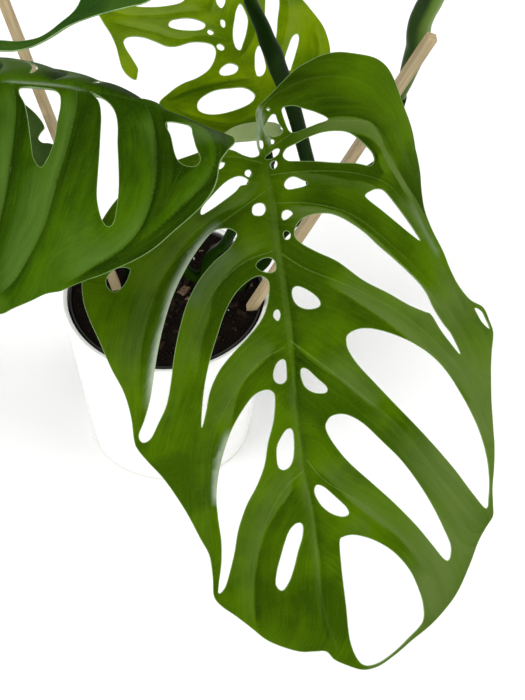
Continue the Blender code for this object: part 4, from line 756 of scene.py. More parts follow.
leftLeaf = {**leafDefaults,       # the second big leaf, at the left
    "piece": "leftLeafBlade", "node": "leaf_left", "slot": "leaf_green",
    "base": (7, -181, 388),
    "length": 330,
    "heading": (-120, -98, -84, -66),
    "pitch": (5, -2, -14, -34),
    "rise": ((-44, -24, -14, -8), (-8, -8, -8, -8)),
    "bend": ((-30, -30, -30, -30), (-44, -40, -34, -26)),
    "curl": ((0, 0, 0, 0), (4, 3, 0, 0)),
    "relief": 4.5,
    "fillStep": 2.8,
    "ripple": 0.8,
    "roll": 1.2,
    "rollReach": 4.0,
    "step": 0.7,
    "veinFoldAndPaintedLight": (12, 1.35),
    # folds with painted sheen and painted shade, and patches of painted sheen and painted shade
    "pleats": [
        (7, 0.2, [(24, -35), (14, -26), (5, -20), (0, -10), (-1, 4), (-2, 18)]),
        (46, 0.5, [(135, 96)]),
        (26, 0.35, [(88, 80)]),
        (24, 0.3, [(112, 34)]),
        (28, -0.7, [(34, -26)]),
        (14, -0.55, [(3, -22)]),
        (16, -0.3, [(12, -38)]),
        (28, -0.6, [(60, -16)]),
        (24, -0.5, [(88, -16)]),
        (16, -0.5, [(20, -38)]),
        (24, -0.4, [(30, 104)]),
        (26, -0.35, [(24, 26)]),
        (22, -0.35, [(60, 40)]),
        (40, -0.5, [(-50, 60)]),
        (30, -0.45, [(-92, 112)]),
    ],
    # painted highlights along curled margins and ribs
    "paintedHighlightLines": [
        (0.9, 0.3, [(4, 56), (3, 80), (3, 100), (3, 120)]),
        (12, 0.05, [(14, -36), (6, -30), (-2, -38), (-14, -26), (-24, -12), (-28, 2)]),
    ],
    "face": "leftLeafFace",
    "look": {
        "Deep Green": (0.0155, 0.042, 0.0003), "Fresh Green": (0.036, 0.085, 0.0006),
        "Shade Green": (0.007, 0.019, 0.0002), "Sheen Green": (0.056, 0.112, 0.014),
        "Vein Green": (0.1, 0.18, 0.05), "Edge Green": (0.15, 0.25, 0.08),
        "Vein Show": 0.25, "Streak Show": 1.3, "Blotch Scale": 1.6,
    },
    "bump": 0.5,
    "shine": 0.008,
    "midrib": [(0, 2), (2, 40), (3, 90), (3, 140), (3, 200), (3, 260), (4, 312)],
    "outline": [
        (-5, 2), (-7, -8), (-7, -24), (-5, -40), (2, -52), (10, -51), (20, -50), (32, -54), (42, -55),
        (54, -53), (66, -48), (78, -42), (90, -36), (100, -29), (110, -20), (120, -10), (129, 0),
        (134, 10), (139, 20), (146, 35), (151, 50), (157, 66), (162, 82), (166, 97), (170, 112),
        (172, 130), (172, 148), (168, 168), (160, 190), (150, 212), (136, 236), (118, 260), (97, 282),
        (74, 300), (50, 316), (26, 328), (6, 336), (-10, 324), (-30, 304), (-48, 282), (-64, 256),
        (-76, 226), (-84, 194), (-86, 160), (-81, 128), (-70, 98), (-57, 72), (-44, 48), (-31, 28),
        (-20, 14), (-11, 8),
    ],
    "slots": [
        [(9, -4), (4, -18), (10, -24), (17, -30), (24, -37), (30, -37), (33, -31), (32, -25),
         (28, -20), (18, -12)],
        [(3, 56), (6, 48), (10, 40), (16, 33), (25, 27), (38, 21), (52, 13), (66, 5), (78, 0),
         (88, -2), (92, 1), (90, 8), (84, 15), (76, 21), (64, 26), (50, 31), (36, 36), (22, 41),
         (11, 47)],
        [(6.5, 92), (7, 82), (11, 76), (20, 73), (32, 72), (46, 71), (58, 73), (66, 77.5), (61, 85),
         (48, 90), (33, 95), (21, 99.5), (12, 105), (8, 105), (6.5, 99)],
        [(12, 134), (15, 126), (26, 121), (42, 119), (60, 121), (78, 128), (92, 140), (98, 150),
         (88, 150), (72, 145), (54, 142), (36, 143), (20, 146)],
        [(14, 178), (17, 171), (28, 167), (44, 168), (62, 174), (80, 185), (94, 200), (104, 216),
         (98, 218), (84, 208), (66, 198), (48, 191), (30, 188)],
        [(16, 217), (20, 211), (32, 210), (46, 215), (60, 225), (72, 238), (80, 252), (74, 252),
         (60, 242), (44, 233), (28, 228)],
        [(14, 256), (20, 251), (30, 256), (38, 266), (42, 278), (34, 274), (22, 266)],
        [(-10, 58), (-13, 56), (-22, 54.5), (-38, 59), (-52, 67.5), (-59, 75), (-50, 70), (-37, 62),
         (-22, 57.5)],
        [(-10, 101), (-13, 99), (-24, 98.5), (-42, 104), (-57, 113), (-67, 122), (-56, 116),
         (-42, 107.5), (-24, 102)],
        [(-10, 145), (-13, 142), (-24, 142), (-42, 149), (-57, 160), (-66, 173), (-56, 165),
         (-42, 154), (-24, 147)],
        [(-10, 190), (-13, 187), (-22, 188), (-36, 196), (-48, 208), (-55, 221), (-46, 212),
         (-35, 201), (-21, 193)],
        [(-10, 231), (-13, 228), (-20, 230), (-31, 239), (-39, 252), (-31, 245), (-20, 235)],
    ],
    "holes": [
        [(6, 160), (8, 157), (12, 158), (12, 162), (8, 164)],
        [(-9, 126), (-7, 123), (-3, 124), (-4, 129), (-7, 129)],
        [(-9, 171), (-7, 168), (-3, 169), (-4, 174), (-7, 174)],
        [(7, 204), (10, 201), (13, 203), (12, 207), (8, 207)],
    ],
    "veins": [
        [(0, -4), (1, -28), (14, -44), (34, -48), (60, -40), (85, -28), (106, -12)],
        [(2, 16), (14, 4), (32, -8), (56, -18), (82, -20), (106, -10), (126, 10), (140, 34)],
        [(3, 66), (16, 62), (40, 60), (70, 61), (100, 65), (122, 76), (142, 94), (156, 118)],
        [(3, 112), (18, 107), (40, 105), (70, 106), (100, 112), (128, 126), (150, 150)],
        [(3, 157), (20, 154), (44, 155), (70, 162), (98, 176), (122, 198), (136, 220)],
        [(3, 200), (20, 198), (44, 202), (68, 214), (88, 234), (100, 256)],
        [(3, 240), (20, 240), (40, 250), (56, 266), (64, 286)],
        [(0, 26), (-20, 24), (-42, 34), (-58, 54)],
        [(0, 84), (-22, 80), (-48, 86), (-74, 104)],
        [(0, 128), (-24, 123), (-50, 130), (-76, 152)],
        [(0, 172), (-22, 169), (-46, 180), (-68, 206)],
        [(0, 214), (-20, 213), (-40, 226), (-58, 248)],
    ],
}


backLeaf = {**leafDefaults,       # the young leaf behind
    "piece": "backLeafBlade", "node": "leaf_back", "slot": "young_green",
    "base": (82, 4, 218),
    "length": 262,
    "heading": (203, 204, 206, 208),
    "pitch": (22, 6, -14, -34),
    "rise": ((8, 8, 6, 4), (8, 8, 6, 4)),
    "bend": ((-20, -20, -16, -10), (-14, -14, -12, -10)),
    "curl": ((0, 0, 0, 0), (0, 0, 0, 0)),
    "fold": ((40, -24), (0, -33.5), 2.4, 150),      # its line, the bend's radius and its turn in degrees
    "fillStep": 2.4,
    "ripple": 0.6,
    "veinFoldAndPaintedLight": (9, 0.5),
    # patches of painted sheen and painted shade
    "pleats": [
        (34, -0.55, [(6, 6)]),
        (22, -0.5, [(0, 50)]),
        (16, -0.5, [(30, -12)]),
        (26, 0.3, [(64, 60)]),
        (24, 0.2, [(-50, 40)]),
        (20, 0.3, [(70, 92)]),
        (30, -0.6, [(46, 18)]),
        (20, -0.5, [(74, 30)]),
        (18, -0.3, [(-68, 30)]),
        (34, 0.3, [(38, 92)]),
    ],
    "face": "backLeafFace",
    "look": {
        "Deep Green": (0.062, 0.122, 0.0002), "Fresh Green": (0.13, 0.205, 0.0002),
        "Shade Green": (0.024, 0.058, 0.0001), "Sheen Green": (0.15, 0.22, 0.03),
        "Vein Green": (0.22, 0.33, 0.03), "Edge Green": (0.3, 0.45, 0.1),
        "Vein Show": 0.22, "Streak Show": 1.0, "Blotch Scale": 2.2,
    },
    "bump": 0.35,
    "midrib": [(-1, 2), (-3, 14), (-2, 40), (2, 62), (4, 90), (3, 130), (1, 180), (0, 236)],
    "outline": [
        (0, -8), (4, -13), (7, -18), (6, -23), (2, -26), (-2, -29), (-5, -34), (-5, -39), (0, -44),
        (8, -48), (20, -47), (32, -44), (42, -39), (50, -31), (56, -19), (62, -7), (68, 5), (74, 15),
        (78, 25), (66, 31), (54, 34), (41, 35), (30, 38), (22, 44), (16, 52), (15, 59), (20, 64),
        (30, 68), (42, 68), (50, 71), (56, 79), (63, 87), (72, 92), (78, 90), (80, 82), (80, 70),
        (80, 60), (82, 56), (86, 51), (90, 57), (91, 66), (89, 76), (86, 88), (84, 102), (83, 118),
        (81, 138), (76, 160), (68, 182), (56, 204), (42, 224), (24, 242), (8, 257), (-2, 262),
        (-14, 250), (-30, 232), (-44, 210), (-54, 186), (-61, 160), (-66, 132), (-69, 108), (-71, 90),
        (-72, 76), (-74, 62), (-76, 48), (-75, 36), (-71, 22), (-64, 10), (-52, 1), (-36, -6),
        (-22, -9), (-10, -10), (-4, -9),
    ],
    "slots": [
        [(3, 8), (6, 3), (13, 0), (25, -1), (38, 0), (47, 3), (52, 8), (50, 14), (43, 18), (32, 20),
         (20, 18), (9, 15)],
        [(5, 35), (7, 31), (12, 29), (20, 30), (22, 33), (18, 37), (10, 39)],
        [(11, 83), (13, 78), (19, 77), (28, 80), (35, 84), (39, 89), (35, 94), (28, 94), (19, 91)],
        [(-24, 88), (-24, 80), (-22, 71), (-15, 60), (-8, 52), (-4, 48), (-2, 51), (-3, 58), (-7, 67),
         (-13, 76), (-18, 83)],
        [(-19, 45), (-18, 35), (-15, 25), (-10, 20), (-6, 21), (-7, 27), (-10, 34), (-14, 41)],
        [(-27, 47), (-30, 42), (-35, 47), (-44, 62), (-54, 78), (-59, 94), (-61, 106), (-55, 100),
         (-46, 86), (-37, 70), (-30, 56)],
        [(-52, 43), (-50, 37), (-42, 27), (-35, 19), (-31, 15), (-30, 20), (-33, 27), (-40, 35),
         (-47, 42)],
        [(12, 118), (14, 112), (22, 110), (36, 113), (50, 120), (60, 131), (50, 133), (36, 129),
         (22, 124)],
        [(12, 152), (14, 146), (22, 145), (36, 150), (48, 159), (56, 170), (46, 169), (34, 163),
         (20, 158)],
        [(10, 188), (12, 182), (20, 183), (30, 191), (38, 203), (28, 201), (18, 195)],
        [(-10, 127), (-13, 119), (-20, 122), (-30, 132), (-40, 146), (-46, 160), (-38, 157),
         (-28, 146), (-17, 135)],
        [(-9, 161), (-12, 154), (-20, 158), (-30, 170), (-38, 184), (-30, 182), (-20, 172)],
        [(-8, 197), (-11, 191), (-18, 197), (-24, 209), (-17, 207)],
    ],
    "holes": [
        [(7, 56), (8, 53), (11, 52), (13, 55), (12, 58), (9, 59)],
        [(8, 72), (9, 70), (12, 70), (13, 73), (10, 75)],
        [(-5, 79), (-4, 75), (-2, 73), (-1, 76), (-3, 81)],
        [(-17, 102), (-14, 95), (-9, 91), (-8, 96), (-10, 103), (-14, 106)],
    ],
    "veins": [
        [(-1, 0), (10, -9), (32, -10), (54, 2), (68, 16)],
        [(-2, 22), (20, 25), (46, 27), (68, 26)],
        [(2, 62), (18, 71), (38, 75), (52, 88), (66, 102), (78, 116)],
        [(4, 96), (22, 100), (44, 106), (64, 118), (76, 138)],
        [(3, 132), (22, 134), (44, 142), (62, 158)],
        [(2, 168), (20, 170), (38, 181), (50, 198)],
        [(-2, 0), (-20, -6), (-44, 4), (-62, 24), (-70, 50)],
        [(-2, 26), (-22, 30), (-36, 38), (-50, 56), (-60, 76), (-67, 102)],
        [(0, 40), (-12, 48), (-24, 60), (-36, 82), (-48, 108), (-54, 130)],
        [(3, 88), (-12, 106), (-28, 120), (-44, 138), (-52, 160)],
        [(2, 140), (-14, 146), (-30, 158), (-42, 176)],
    ],
}


upperLeaf = {**leafDefaults,       # the leaf at the top, on the thick dark stalk
    "piece": "upperLeafBlade", "node": "leaf_upper", "slot": "leaf_green",
    "base": (57, -115, 470),
    "length": 190,
    "heading": (-90, -76, -65, -63, -72, -96),
    "pitch": (7, -8, -17, -14, -12, -3),
    "rise": ((12, 12, 10, 8, 6, 4), (34, 30, 20, 12, 6, 4)),
    "bend": ((-26, -26, -20, -10, -6, 0), (-22, -22, -16, -10, -6, 0)),
    "curl": ((0, 0, 0, 0, 0, 0), (0, 0, 0, 0, 0, 0)),
    "face": "upperLeafFace",
    "look": {
        "Deep Green": (0.012, 0.04, 0.004), "Fresh Green": (0.026, 0.068, 0.006),
        "Shade Green": (0.008, 0.026, 0.002), "Sheen Green": (0.07, 0.1, 0.05),
        "Vein Green": (0.08, 0.14, 0.05), "Edge Green": (0.16, 0.26, 0.12),
        "Vein Show": 0.3, "Streak Show": 0.6, "Blotch Scale": 2.0,
    },
    "midrib": [(0, 2), (1, 40), (1, 80), (2, 108), (4, 126), (6, 140), (5, 158), (1, 174)],
    "outline": [
        (3, -9), (12, -16), (24, -16), (36, -8), (45, 4), (49, 18), (49, 34), (46, 50), (42, 64),
        (36, 76), (29, 87), (22, 97), (15, 108), (10, 118), (7.5, 128), (8.5, 138), (10, 148),
        (9.5, 158), (7, 166), (4, 173), (-1, 186), (-6, 196), (-8.5, 196), (-8, 186), (-5.5, 172),
        (-2, 163), (1.2, 155), (3.6, 146), (2.6, 137), (0.2, 129), (-1.5, 121), (-4, 114), (-9, 107),
        (-17, 98), (-28, 87), (-38, 73), (-46, 57), (-50, 38), (-50, 20), (-46, 2), (-37, -11),
        (-22, -17), (-8, -12),
    ],
    "slots": [
        [(9, 20), (11, 15), (19, 12), (29, 13), (38, 19), (42, 27), (36, 29), (27, 26), (17, 24)],
        [(9, 48), (11, 43), (18, 42), (27, 46), (34, 53), (38, 61), (31, 60), (23, 55), (15, 51)],
        [(-9, 22), (-12, 16), (-22, 14), (-34, 19), (-42, 28), (-44, 37), (-36, 34), (-24, 28)],
        [(-9, 52), (-12, 46), (-20, 45), (-30, 51), (-37, 60), (-38, 68), (-30, 65), (-19, 57)],
    ],
    "holes": [
        [(8, 75), (11, 71), (17, 74), (22, 82), (15, 81)],
        [(-8, 79), (-11, 75), (-17, 79), (-20, 86), (-14, 86)],
    ],
    "veins": [
        [(0, 2), (14, -7), (32, -2), (44, 16)],
        [(1, 34), (20, 34), (38, 44), (44, 54)],
        [(1, 62), (18, 66), (32, 78)],
        [(0, 2), (-16, -7), (-32, 0), (-46, 18)],
        [(0, 36), (-20, 37), (-36, 48), (-44, 62)],
        [(0, 66), (-16, 71), (-30, 86)],
    ],
}


lowLeaf = {**leafDefaults,       # the small leaf low at the left
    "piece": "lowLeafBlade", "node": "leaf_low", "slot": "leaf_green",
    "base": (-72, -84, 190),
    "length": 168,
    "heading": (-128, -118, -104, -92),
    "pitch": (16, 4, -12, -30),
    "rise": ((22, 20, 14, 8), (10, 8, 6, 4)),
    "bend": ((-18, -18, -14, -10), (-26, -24, -18, -12)),
    "curl": ((0, 0, 0, 0), (0, 0, 0, 0)),
    "face": "lowLeafFace",
    "look": {
        "Deep Green": (0.013, 0.03, 0.006), "Fresh Green": (0.026, 0.052, 0.01),
        "Shade Green": (0.008, 0.026, 0.001), "Sheen Green": (0.05, 0.09, 0.02),
        "Vein Green": (0.09, 0.16, 0.05), "Edge Green": (0.2, 0.32, 0.12),
        "Vein Show": 0.3, "Streak Show": 0.7, "Blotch Scale": 2.0,
    },
    "midrib": [(0, 2), (1, 40), (1, 90), (0, 130), (0, 150)],
    "outline": [
        (2, -7), (10, -12), (22, -12), (36, -4), (48, 10), (56, 28), (58, 48), (55, 70), (48, 92),
        (38, 112), (26, 130), (14, 146), (4, 160), (-2, 168), (-10, 162), (-24, 150), (-40, 136),
        (-54, 121), (-65, 105), (-72, 90), (-73, 78), (-69, 70), (-63, 61), (-57, 54), (-53, 51),
        (-48, 51.5), (-43, 51), (-41, 47), (-43, 42), (-43, 34), (-36, 22), (-28, 12), (-20, 3),
        (-13, -5), (-6, -9),
    ],
    "slots": [
        [(9, 24), (11, 19), (20, 16), (34, 18), (46, 26), (50, 36), (42, 36), (30, 31), (18, 28)],
        [(9, 62), (11, 57), (19, 56), (32, 61), (42, 70), (46, 80), (36, 78), (24, 71)],
        [(-9, 30), (-12, 24), (-20, 24), (-30, 30), (-33, 37), (-24, 37), (-15, 35)],
        [(-9, 68), (-12, 62), (-22, 63), (-36, 72), (-48, 84), (-56, 97), (-46, 94), (-32, 84),
         (-18, 75)],
    ],
    "holes": [
        [(8, 98), (11, 95), (18, 99), (23, 108), (16, 107)],
        [(-8, 98), (-11, 95), (-17, 100), (-21, 109), (-14, 107)],
    ],
    "veins": [
        [(0, 2), (14, -5), (32, 0), (50, 20)],
        [(1, 42), (22, 42), (42, 52), (52, 66)],
        [(1, 80), (20, 86), (36, 104)],
        [(0, 4), (-14, 8), (-26, 18), (-36, 30)],
        [(0, 48), (-20, 50), (-40, 60), (-58, 76)],
        [(0, 86), (-20, 92), (-40, 108), (-52, 116)],
    ],
}

blades = {}
for leaf, underside in ((frontLeaf, dullUnderside), (leftLeaf, dullUnderside), (backLeaf, youngUnderside),
                        (upperLeaf, dullUnderside), (lowLeaf, dullUnderside)):
    blades[leaf["piece"]] = buildLeaf(leaf, underside)


def makeStalkLook(name, dark, fresh, scar, roughness):
    # green skin with fine lengthwise streaks; "grain" runs round and along each stalk
    look, tree, shader = newLook(name, roughness, {"Specular IOR Level": 0.012,
                                                   "Specular Tint": (0.6, 1.0, 0.3, 1)})
    streak = addNoise(tree, attribute(tree, "grain").outputs["Vector"], 90.0, 3.0)
    place = objectPlace(tree)
    patch = addNoise(tree, place, 22.0, 2.0)
    colour = mixColour(tree, band(tree, streak, 0.35, 0.7), (*dark, 1), (*fresh, 1))
    fleck = addNode(tree, "TexVoronoi", {"Vector": place, "Scale": 260.0}).outputs["Distance"]
    colour = mixColour(tree, band(tree, fleck, 0.08, 0.16, 0.5, 0.0), colour, (*fresh, 1))
    colour = mixColour(tree, band(tree, patch, 0.55, 0.75, 0.0, 0.35), colour, (*scar, 1))
    tree.links.new(colour, shader.inputs["Base Color"])
    tree.links.new(calc(tree, "MULTIPLY_ADD", patch, 0.2, roughness - 0.1), shader.inputs["Roughness"])
    addBump(tree, shader, streak, 0.25, 0.0008)
    return look


def loftAlong(bm, path, radii, ring, turns=None):
    # draws the closed cross-section along the path; ring is given for a radius of 1
    frames = []
    side = None
    for i, place in enumerate(path):
        run = (path[min(i + 1, len(path) - 1)] - path[max(i - 1, 0)]).normalized()
        side = run.orthogonal().normalized() if side is None else (side - side.dot(run) * run).normalized()
        front = run.cross(side)
        turn = Matrix.Rotation(turns[i] if turns else 0, 4, "Z")
        size = Matrix.Diagonal((radii[i], radii[i], radii[i], 1))
        frame = Matrix((side, front, run)).transposed().to_4x4()
        frames.append(Matrix.Translation(place) @ frame @ turn @ size)
    verts = [bm.verts.new(frames[0] @ Vector((x, y, 0))) for x, y in ring]
    edges = [bm.edges.new(pair) for pair in zip(verts, verts[1:] + verts[:1])]
    bmesh.ops.edgeloop_fill(bm, edges=edges)
    for before, after in zip(frames, frames[1:]):
        made = bmesh.ops.extrude_edge_only(bm, edges=edges)["geom"]
        verts = [item for item in made if isinstance(item, bmesh.types.BMVert)]
        edges = [item for item in made if isinstance(item, bmesh.types.BMEdge)]
        bmesh.ops.transform(bm, matrix=after @ before.inverted(), verts=verts)
    bmesh.ops.edgeloop_fill(bm, edges=edges)
    return frames


stalkForm = {
    "sides": 28,
    "step": 3.0,          # spacing of the rings, in millimetres
    "groove": 0.12,       # depth of the groove on the upper side, as a share of the radius
    "grooveWidth": 0.5,   # half width of the groove, in radians
    "neck": 10.0,         # straight end under a leaf, in millimetres
    "sunk": 1.0,          # how far that end runs into the midrib, in millimetres
    "skin": 0.9 * mm,     # size of the cells that fuse the stalks into one skin
    "smoothing": 4,       # rounds of smoothing of that skin
    "grainStretch": 0.12,  # how long the streaks are drawn out
}


def seatUnder(leaf, radius):
    # where a stalk of this radius meets the underside of the blade, and the way the leaf faces there
    u, v = leaf["midrib"][0]
    v += 3.0      # the stalk meets the midrib this far up the leaf
    spots = bendLeaf(leaf, np.array([(u, v), (u + 2, v), (u, v + 2)], float), np.zeros(3))
    facing = Vector(np.cross(spots[2] - spots[0], spots[1] - spots[0])).normalized()
    below = overSoil(Vector(spots[0]) - facing * stalkForm["neck"])
    side = facing.orthogonal().normalized() * radius * mm
    ring = [below + Matrix.Rotation(math.tau * k / 10, 3, facing) @ side for k in range(10)]
    tree = BVHTree.FromObject(blades[leaf["piece"]], bpy.context.evaluated_depsgraph_get())
    reach = min(found for found in (tree.ray_cast(place, facing)[3] for place in [below, *ring]) if found)
    end = Vector(spots[0]) - facing * (stalkForm["neck"] - reach / mm - stalkForm["sunk"])
    return end, facing


def buildStem(stem, look):
    # a stem and its grooved stalks are lofted one by one and fused into one skin
    bm = bmesh.new()
    sides = stalkForm["sides"]
    turns = [math.tau * k / sides for k in range(sides)]
    plain = [(math.cos(t), math.sin(t)) for t in turns]
    grooved = []
    for t in turns:
        off = abs((t - stem["grooveTurn"] + math.pi) % math.tau - math.pi)
        dip = 1 - stalkForm["groove"] * math.exp(-(off / stalkForm["grooveWidth"]) ** 2)
        grooved.append((dip * math.cos(t), dip * math.sin(t)))
    spots, facts = [], []
    for line, leaf in [(stem["stem"], None), *stem["stalks"]]:
        points = [np.array(point, float) for point in line]
        if leaf:
            radius = points[-1][3]
            end, facing = seatUnder(leaf, radius)
            points += [np.append(np.array(end - facing * stalkForm["neck"]), radius), np.append(end, radius)]
        path = smoothPath(points, False, stalkForm["step"])
        places = [overSoil(point) for point in path]
        loftAlong(bm, places, list(path[:, 3] * mm), grooved if leaf else plain)
        for i, place in enumerate(places):
            spots.append(place)
            facts.append(((places[min(i + 1, len(places) - 1)] - places[max(i - 1, 0)]).normalized(), i))
    bmesh.ops.recalc_face_normals(bm, faces=bm.faces)
    piece = finishPiece(stem["piece"], bm, stem["node"], [look])
    fuse = piece.modifiers.new("fuse", "REMESH")
    fuse.mode = "VOXEL"
    fuse.voxel_size = stalkForm["skin"]
    fuse.use_smooth_shade = True
    applyModifiers(piece)
    bm = bmesh.new()
    bm.from_mesh(piece.data)
    for _ in range(stalkForm["smoothing"]):
        bmesh.ops.smooth_vert(bm, verts=bm.verts, factor=0.5, use_axis_x=True, use_axis_y=True,
                              use_axis_z=True)
    bm.to_mesh(piece.data)
    bm.free()
    tree = treeOf(spots)
    grain = []
    for vert in piece.data.vertices:
        index = tree.find(vert.co)[1]
        run, number = facts[index]
        away = vert.co - spots[index]
        cross = away - away.dot(run) * run
        along = number * stalkForm["step"] * mm + away.dot(run)
        grain.append(cross + run * along * stalkForm["grainStretch"])
    addFacts(piece, "FLOAT_VECTOR", grain=grain)
    print(f"{stem['piece']}: {len(piece.data.polygons)} faces")


# each point is (x, y, height, radius) in millimetres; a stalk ends under its leaf, or free where None stands
rightStem = {
    "piece": "rightStem", "node": "stem_right", "slot": "stem_green", "grooveTurn": 1.6,
    "stem": [(62, 5, -30, 5.4), (62, 5, 0, 5.4), (80, 4, 34, 5.3), (100, 0, 73, 5.2),
             (118, -3, 98, 5.2), (134, -5, 116, 4.4)],
    "stalks": [
        ([(127, -3, 105, 6.2), (123, -8, 134, 6), (115, -22, 182, 5.8), (106, -38, 236, 6),
          (99, -48, 272, 6.4), (90, -59, 310, 7), (86, -65, 330, 7.1), (81, -71, 349, 6.4),
          (77, -77, 368, 5.7), (68, -90, 404, 4.8), (62, -102, 443, 4.5)], upperLeaf),
        ([(66, 3, 14, 4.4), (86, -6, 46, 4.1), (89, -9, 98, 3.8), (88, -8, 153, 3.4), (83, 3, 200, 3)],
         backLeaf),
        ([(127, -4, 106, 4.6), (138, -3, 121, 4.2), (156, -1, 133, 3.8), (177, 2, 147, 3.8),
          (185, 4, 173, 4), (189, 4, 200, 4.6), (191, 3, 218, 5.2)], None),
    ],
}
middleStem = {
    "piece": "middleStem", "node": "stem_middle", "slot": "stem_green", "grooveTurn": 1.6,
    "stem": [(32, 4, -30, 6), (32, 4, 0, 6), (32, 4, 14, 6), (31, 2, 24, 5)],
    "stalks": [
        ([(32, 3, 14, 5.2), (38, -20, 68, 4.9), (50, -63, 132, 4.5), (64, -81, 196, 4.1),
          (73, -104, 252, 3.8)], frontLeaf),
        ([(30, 3, 14, 5.2), (16, -10, 44, 4.9), (7, -34, 104, 4.6), (3, -79, 197, 4.2),
          (0, -127, 289, 3.9), (3, -162, 350, 3.6)], leftLeaf),
    ],
}
leftStem = {
    "piece": "leftStem", "node": "stem_left", "slot": "stem_green", "grooveTurn": 1.6,
    "stem": [(-29, 25, -30, 5), (-29, 25, 0, 5), (-30, 23, 16, 4.8), (-31, 20, 26, 4)],
    "stalks": [
        ([(-30, 22, 16, 4.2), (-33, 0, 60, 3.8), (-44, -36, 112, 3.3), (-60, -66, 156, 2.9)], lowLeaf),
    ],
}
stalkSkin = makeStalkLook("stalkSkin", (0.0022, 0.010, 0.0002), (0.0085, 0.027, 0.0006),
                          (0.012, 0.024, 0.003), 0.42)
for stem in (rightStem, middleStem, leftStem):
    buildStem(stem, stalkSkin)


newLeaf = {
    "piece": "rolledLeaf",
    "sides": 44,
    "step": 2.5,
    "overlap": 0.13,        # height of the free edge of the roll, as a share of its radius
    "seamStart": 0.6,       # where that edge stands at the foot, in radians
    "seamTurn": 2.4,        # how far it winds round up to the tip
    "leeWay": (-0.93, -0.2, 0.3),      # the side painted in shade; faces turned the other way are painted with sheen
    "points": [
        (190, 3, 214, 5.0), (191, 3, 222, 5.4),
        (194, 3, 233, 6.2), (198, 3, 252, 8.0), (202, 4, 268, 9.6), (202, 4, 281, 9.8),
        (203, 4, 293, 9.5), (206, 4, 304, 9.4), (210, 4, 315, 9.6), (217, 4, 340, 10.4),
        (223, 3, 369, 10.8), (227, 2, 399, 9.8), (230, 1, 427, 7.6), (232, 0, 449, 4.8),
        (233, 0, 465, 1.2),
    ],
}


def makeRolledLook():
    # "wrap" runs round the roll from its free edge; a second attribute says how far a face looks to the side
    # painted in shade, and the roll's foot is painted in shadow
    look, tree, shader = newLook("rolledLeafSkin", 0.36, {"Specular IOR Level": 0.1,
                                                          "Specular Tint": (0.8, 1.0, 0.6, 1)})
    lines = addNoise(tree, attribute(tree, "grain").outputs["Vector"], 1.0, 3.0)
    wrap, lee = (attribute(tree, name).outputs["Fac"] for name in ("wrap", "lee"))
    colour = mixColour(tree, band(tree, lines, 0.35, 0.7), (0.080, 0.145, 0.020, 1), (0.125, 0.195, 0.032, 1))
    # painted shade on the faces that look to the shaded side
    colour = mixColour(tree, band(tree, lee, 0.15, 0.72), colour, (0.010, 0.024, 0.004, 1))
    # painted sheen on the faces that look away from it
    colour = mixColour(tree, band(tree, lee, -0.6, 0.25, 0.55, 0.0), colour, (0.18, 0.26, 0.07, 1))
    colour = mixColour(tree, band(tree, wrap, 0.0, 0.02, 0.4, 0.0), colour, (0.16, 0.24, 0.06, 1))
    # painted shadow: the foot of the roll darker, fading out between 0.42 and 0.5 metres high
    height = addNode(tree, "SeparateXYZ", {0: objectPlace(tree)}).outputs["Z"]
    colour = mixColour(tree, band(tree, height, 0.42, 0.50, 0.7, 0.0), colour, (0.020, 0.052, 0.006, 1))
    tree.links.new(colour, shader.inputs["Base Color"])
    tree.links.new(calc(tree, "MULTIPLY_ADD", lines, 0.15, 0.3), shader.inputs["Roughness"])
    addBump(tree, shader, lines, 0.3, 0.001)
    return look


def buildRolledLeaf(leaf):
    path = smoothPath(leaf["points"], False, leaf["step"])
    places = [overSoil(point) for point in path]
    radii = list(path[:, 3] * mm)
    sides = leaf["sides"]
    ring = []
    for k in range(sides):
        turn = math.tau * k / (sides - 1) * 0.998
        reach = 1.0 - leaf["overlap"] * (k / (sides - 1))
        ring.append((reach * math.cos(turn), reach * math.sin(turn)))
    turns = [leaf["seamStart"] + leaf["seamTurn"] * i / len(places) for i in range(len(places))]
    bm = bmesh.new()
    frames = loftAlong(bm, places, radii, ring, turns)
    bmesh.ops.recalc_face_normals(bm, faces=bm.faces)
    piece = finishPiece(leaf["piece"], bm, "leaf_new", [makeRolledLook()])
    wrap, grain = [], []
    for vert in piece.data.vertices:
        number = vert.index // sides
        spot = frames[number].inverted() @ vert.co
        turn = (math.atan2(spot.y, spot.x) % math.tau) / math.tau
        wrap.append(turn)
        grain.append((turn * 26, number * leaf["step"] * 0.02, 0))
    lee = [vert.normal.dot(Vector(leaf["leeWay"])) for vert in piece.data.vertices]
    addFacts(piece, "FLOAT", lee=lee, wrap=wrap)
    addFacts(piece, "FLOAT_VECTOR", grain=grain)
    piece.data.set_sharp_from_angle(angle=math.radians(50))
    print("rolled leaf done")


def spinProfile(name, profile, sides, node, look):
    # turns a profile of (radius, height) points, from axis to axis, round the Z axis
    bm = bmesh.new()
    verts = [bm.verts.new((radius, 0, height)) for radius, height in profile]
    edges = [bm.edges.new(pair) for pair in zip(verts, verts[1:])]
    bmesh.ops.spin(bm, geom=[*verts, *edges], cent=(0, 0, 0), axis=(0, 0, 1), dvec=(0, 0, 0),
                   angle=math.tau, steps=sides, use_merge=True)
    bmesh.ops.remove_doubles(bm, verts=bm.verts, dist=0.00001)
    bmesh.ops.recalc_face_normals(bm, faces=bm.faces)
    piece = finishPiece(name, bm, node, [look])
    piece.data.set_sharp_from_angle(angle=math.radians(50))
    return piece


def roundCorner(start, corner, end, radius, steps=5):
    # points of a rounded corner of a profile, instead of the sharp one
    start, corner, end = (Vector(point) for point in (start, corner, end))
    first = corner + (start - corner).normalized() * radius
    last = corner + (end - corner).normalized() * radius
    return [tuple(first.lerp(corner, t).lerp(corner.lerp(last, t), t)) for t in np.linspace(0, 1, steps)]


def roundProfile(corners, radii):
    points = [corners[0]]
    for i in range(1, len(corners) - 1):
        near = corners[i - 1:i + 2]
        points += roundCorner(*near, radii[i]) if radii[i] else [corners[i]]
    return [*points, corners[-1]]


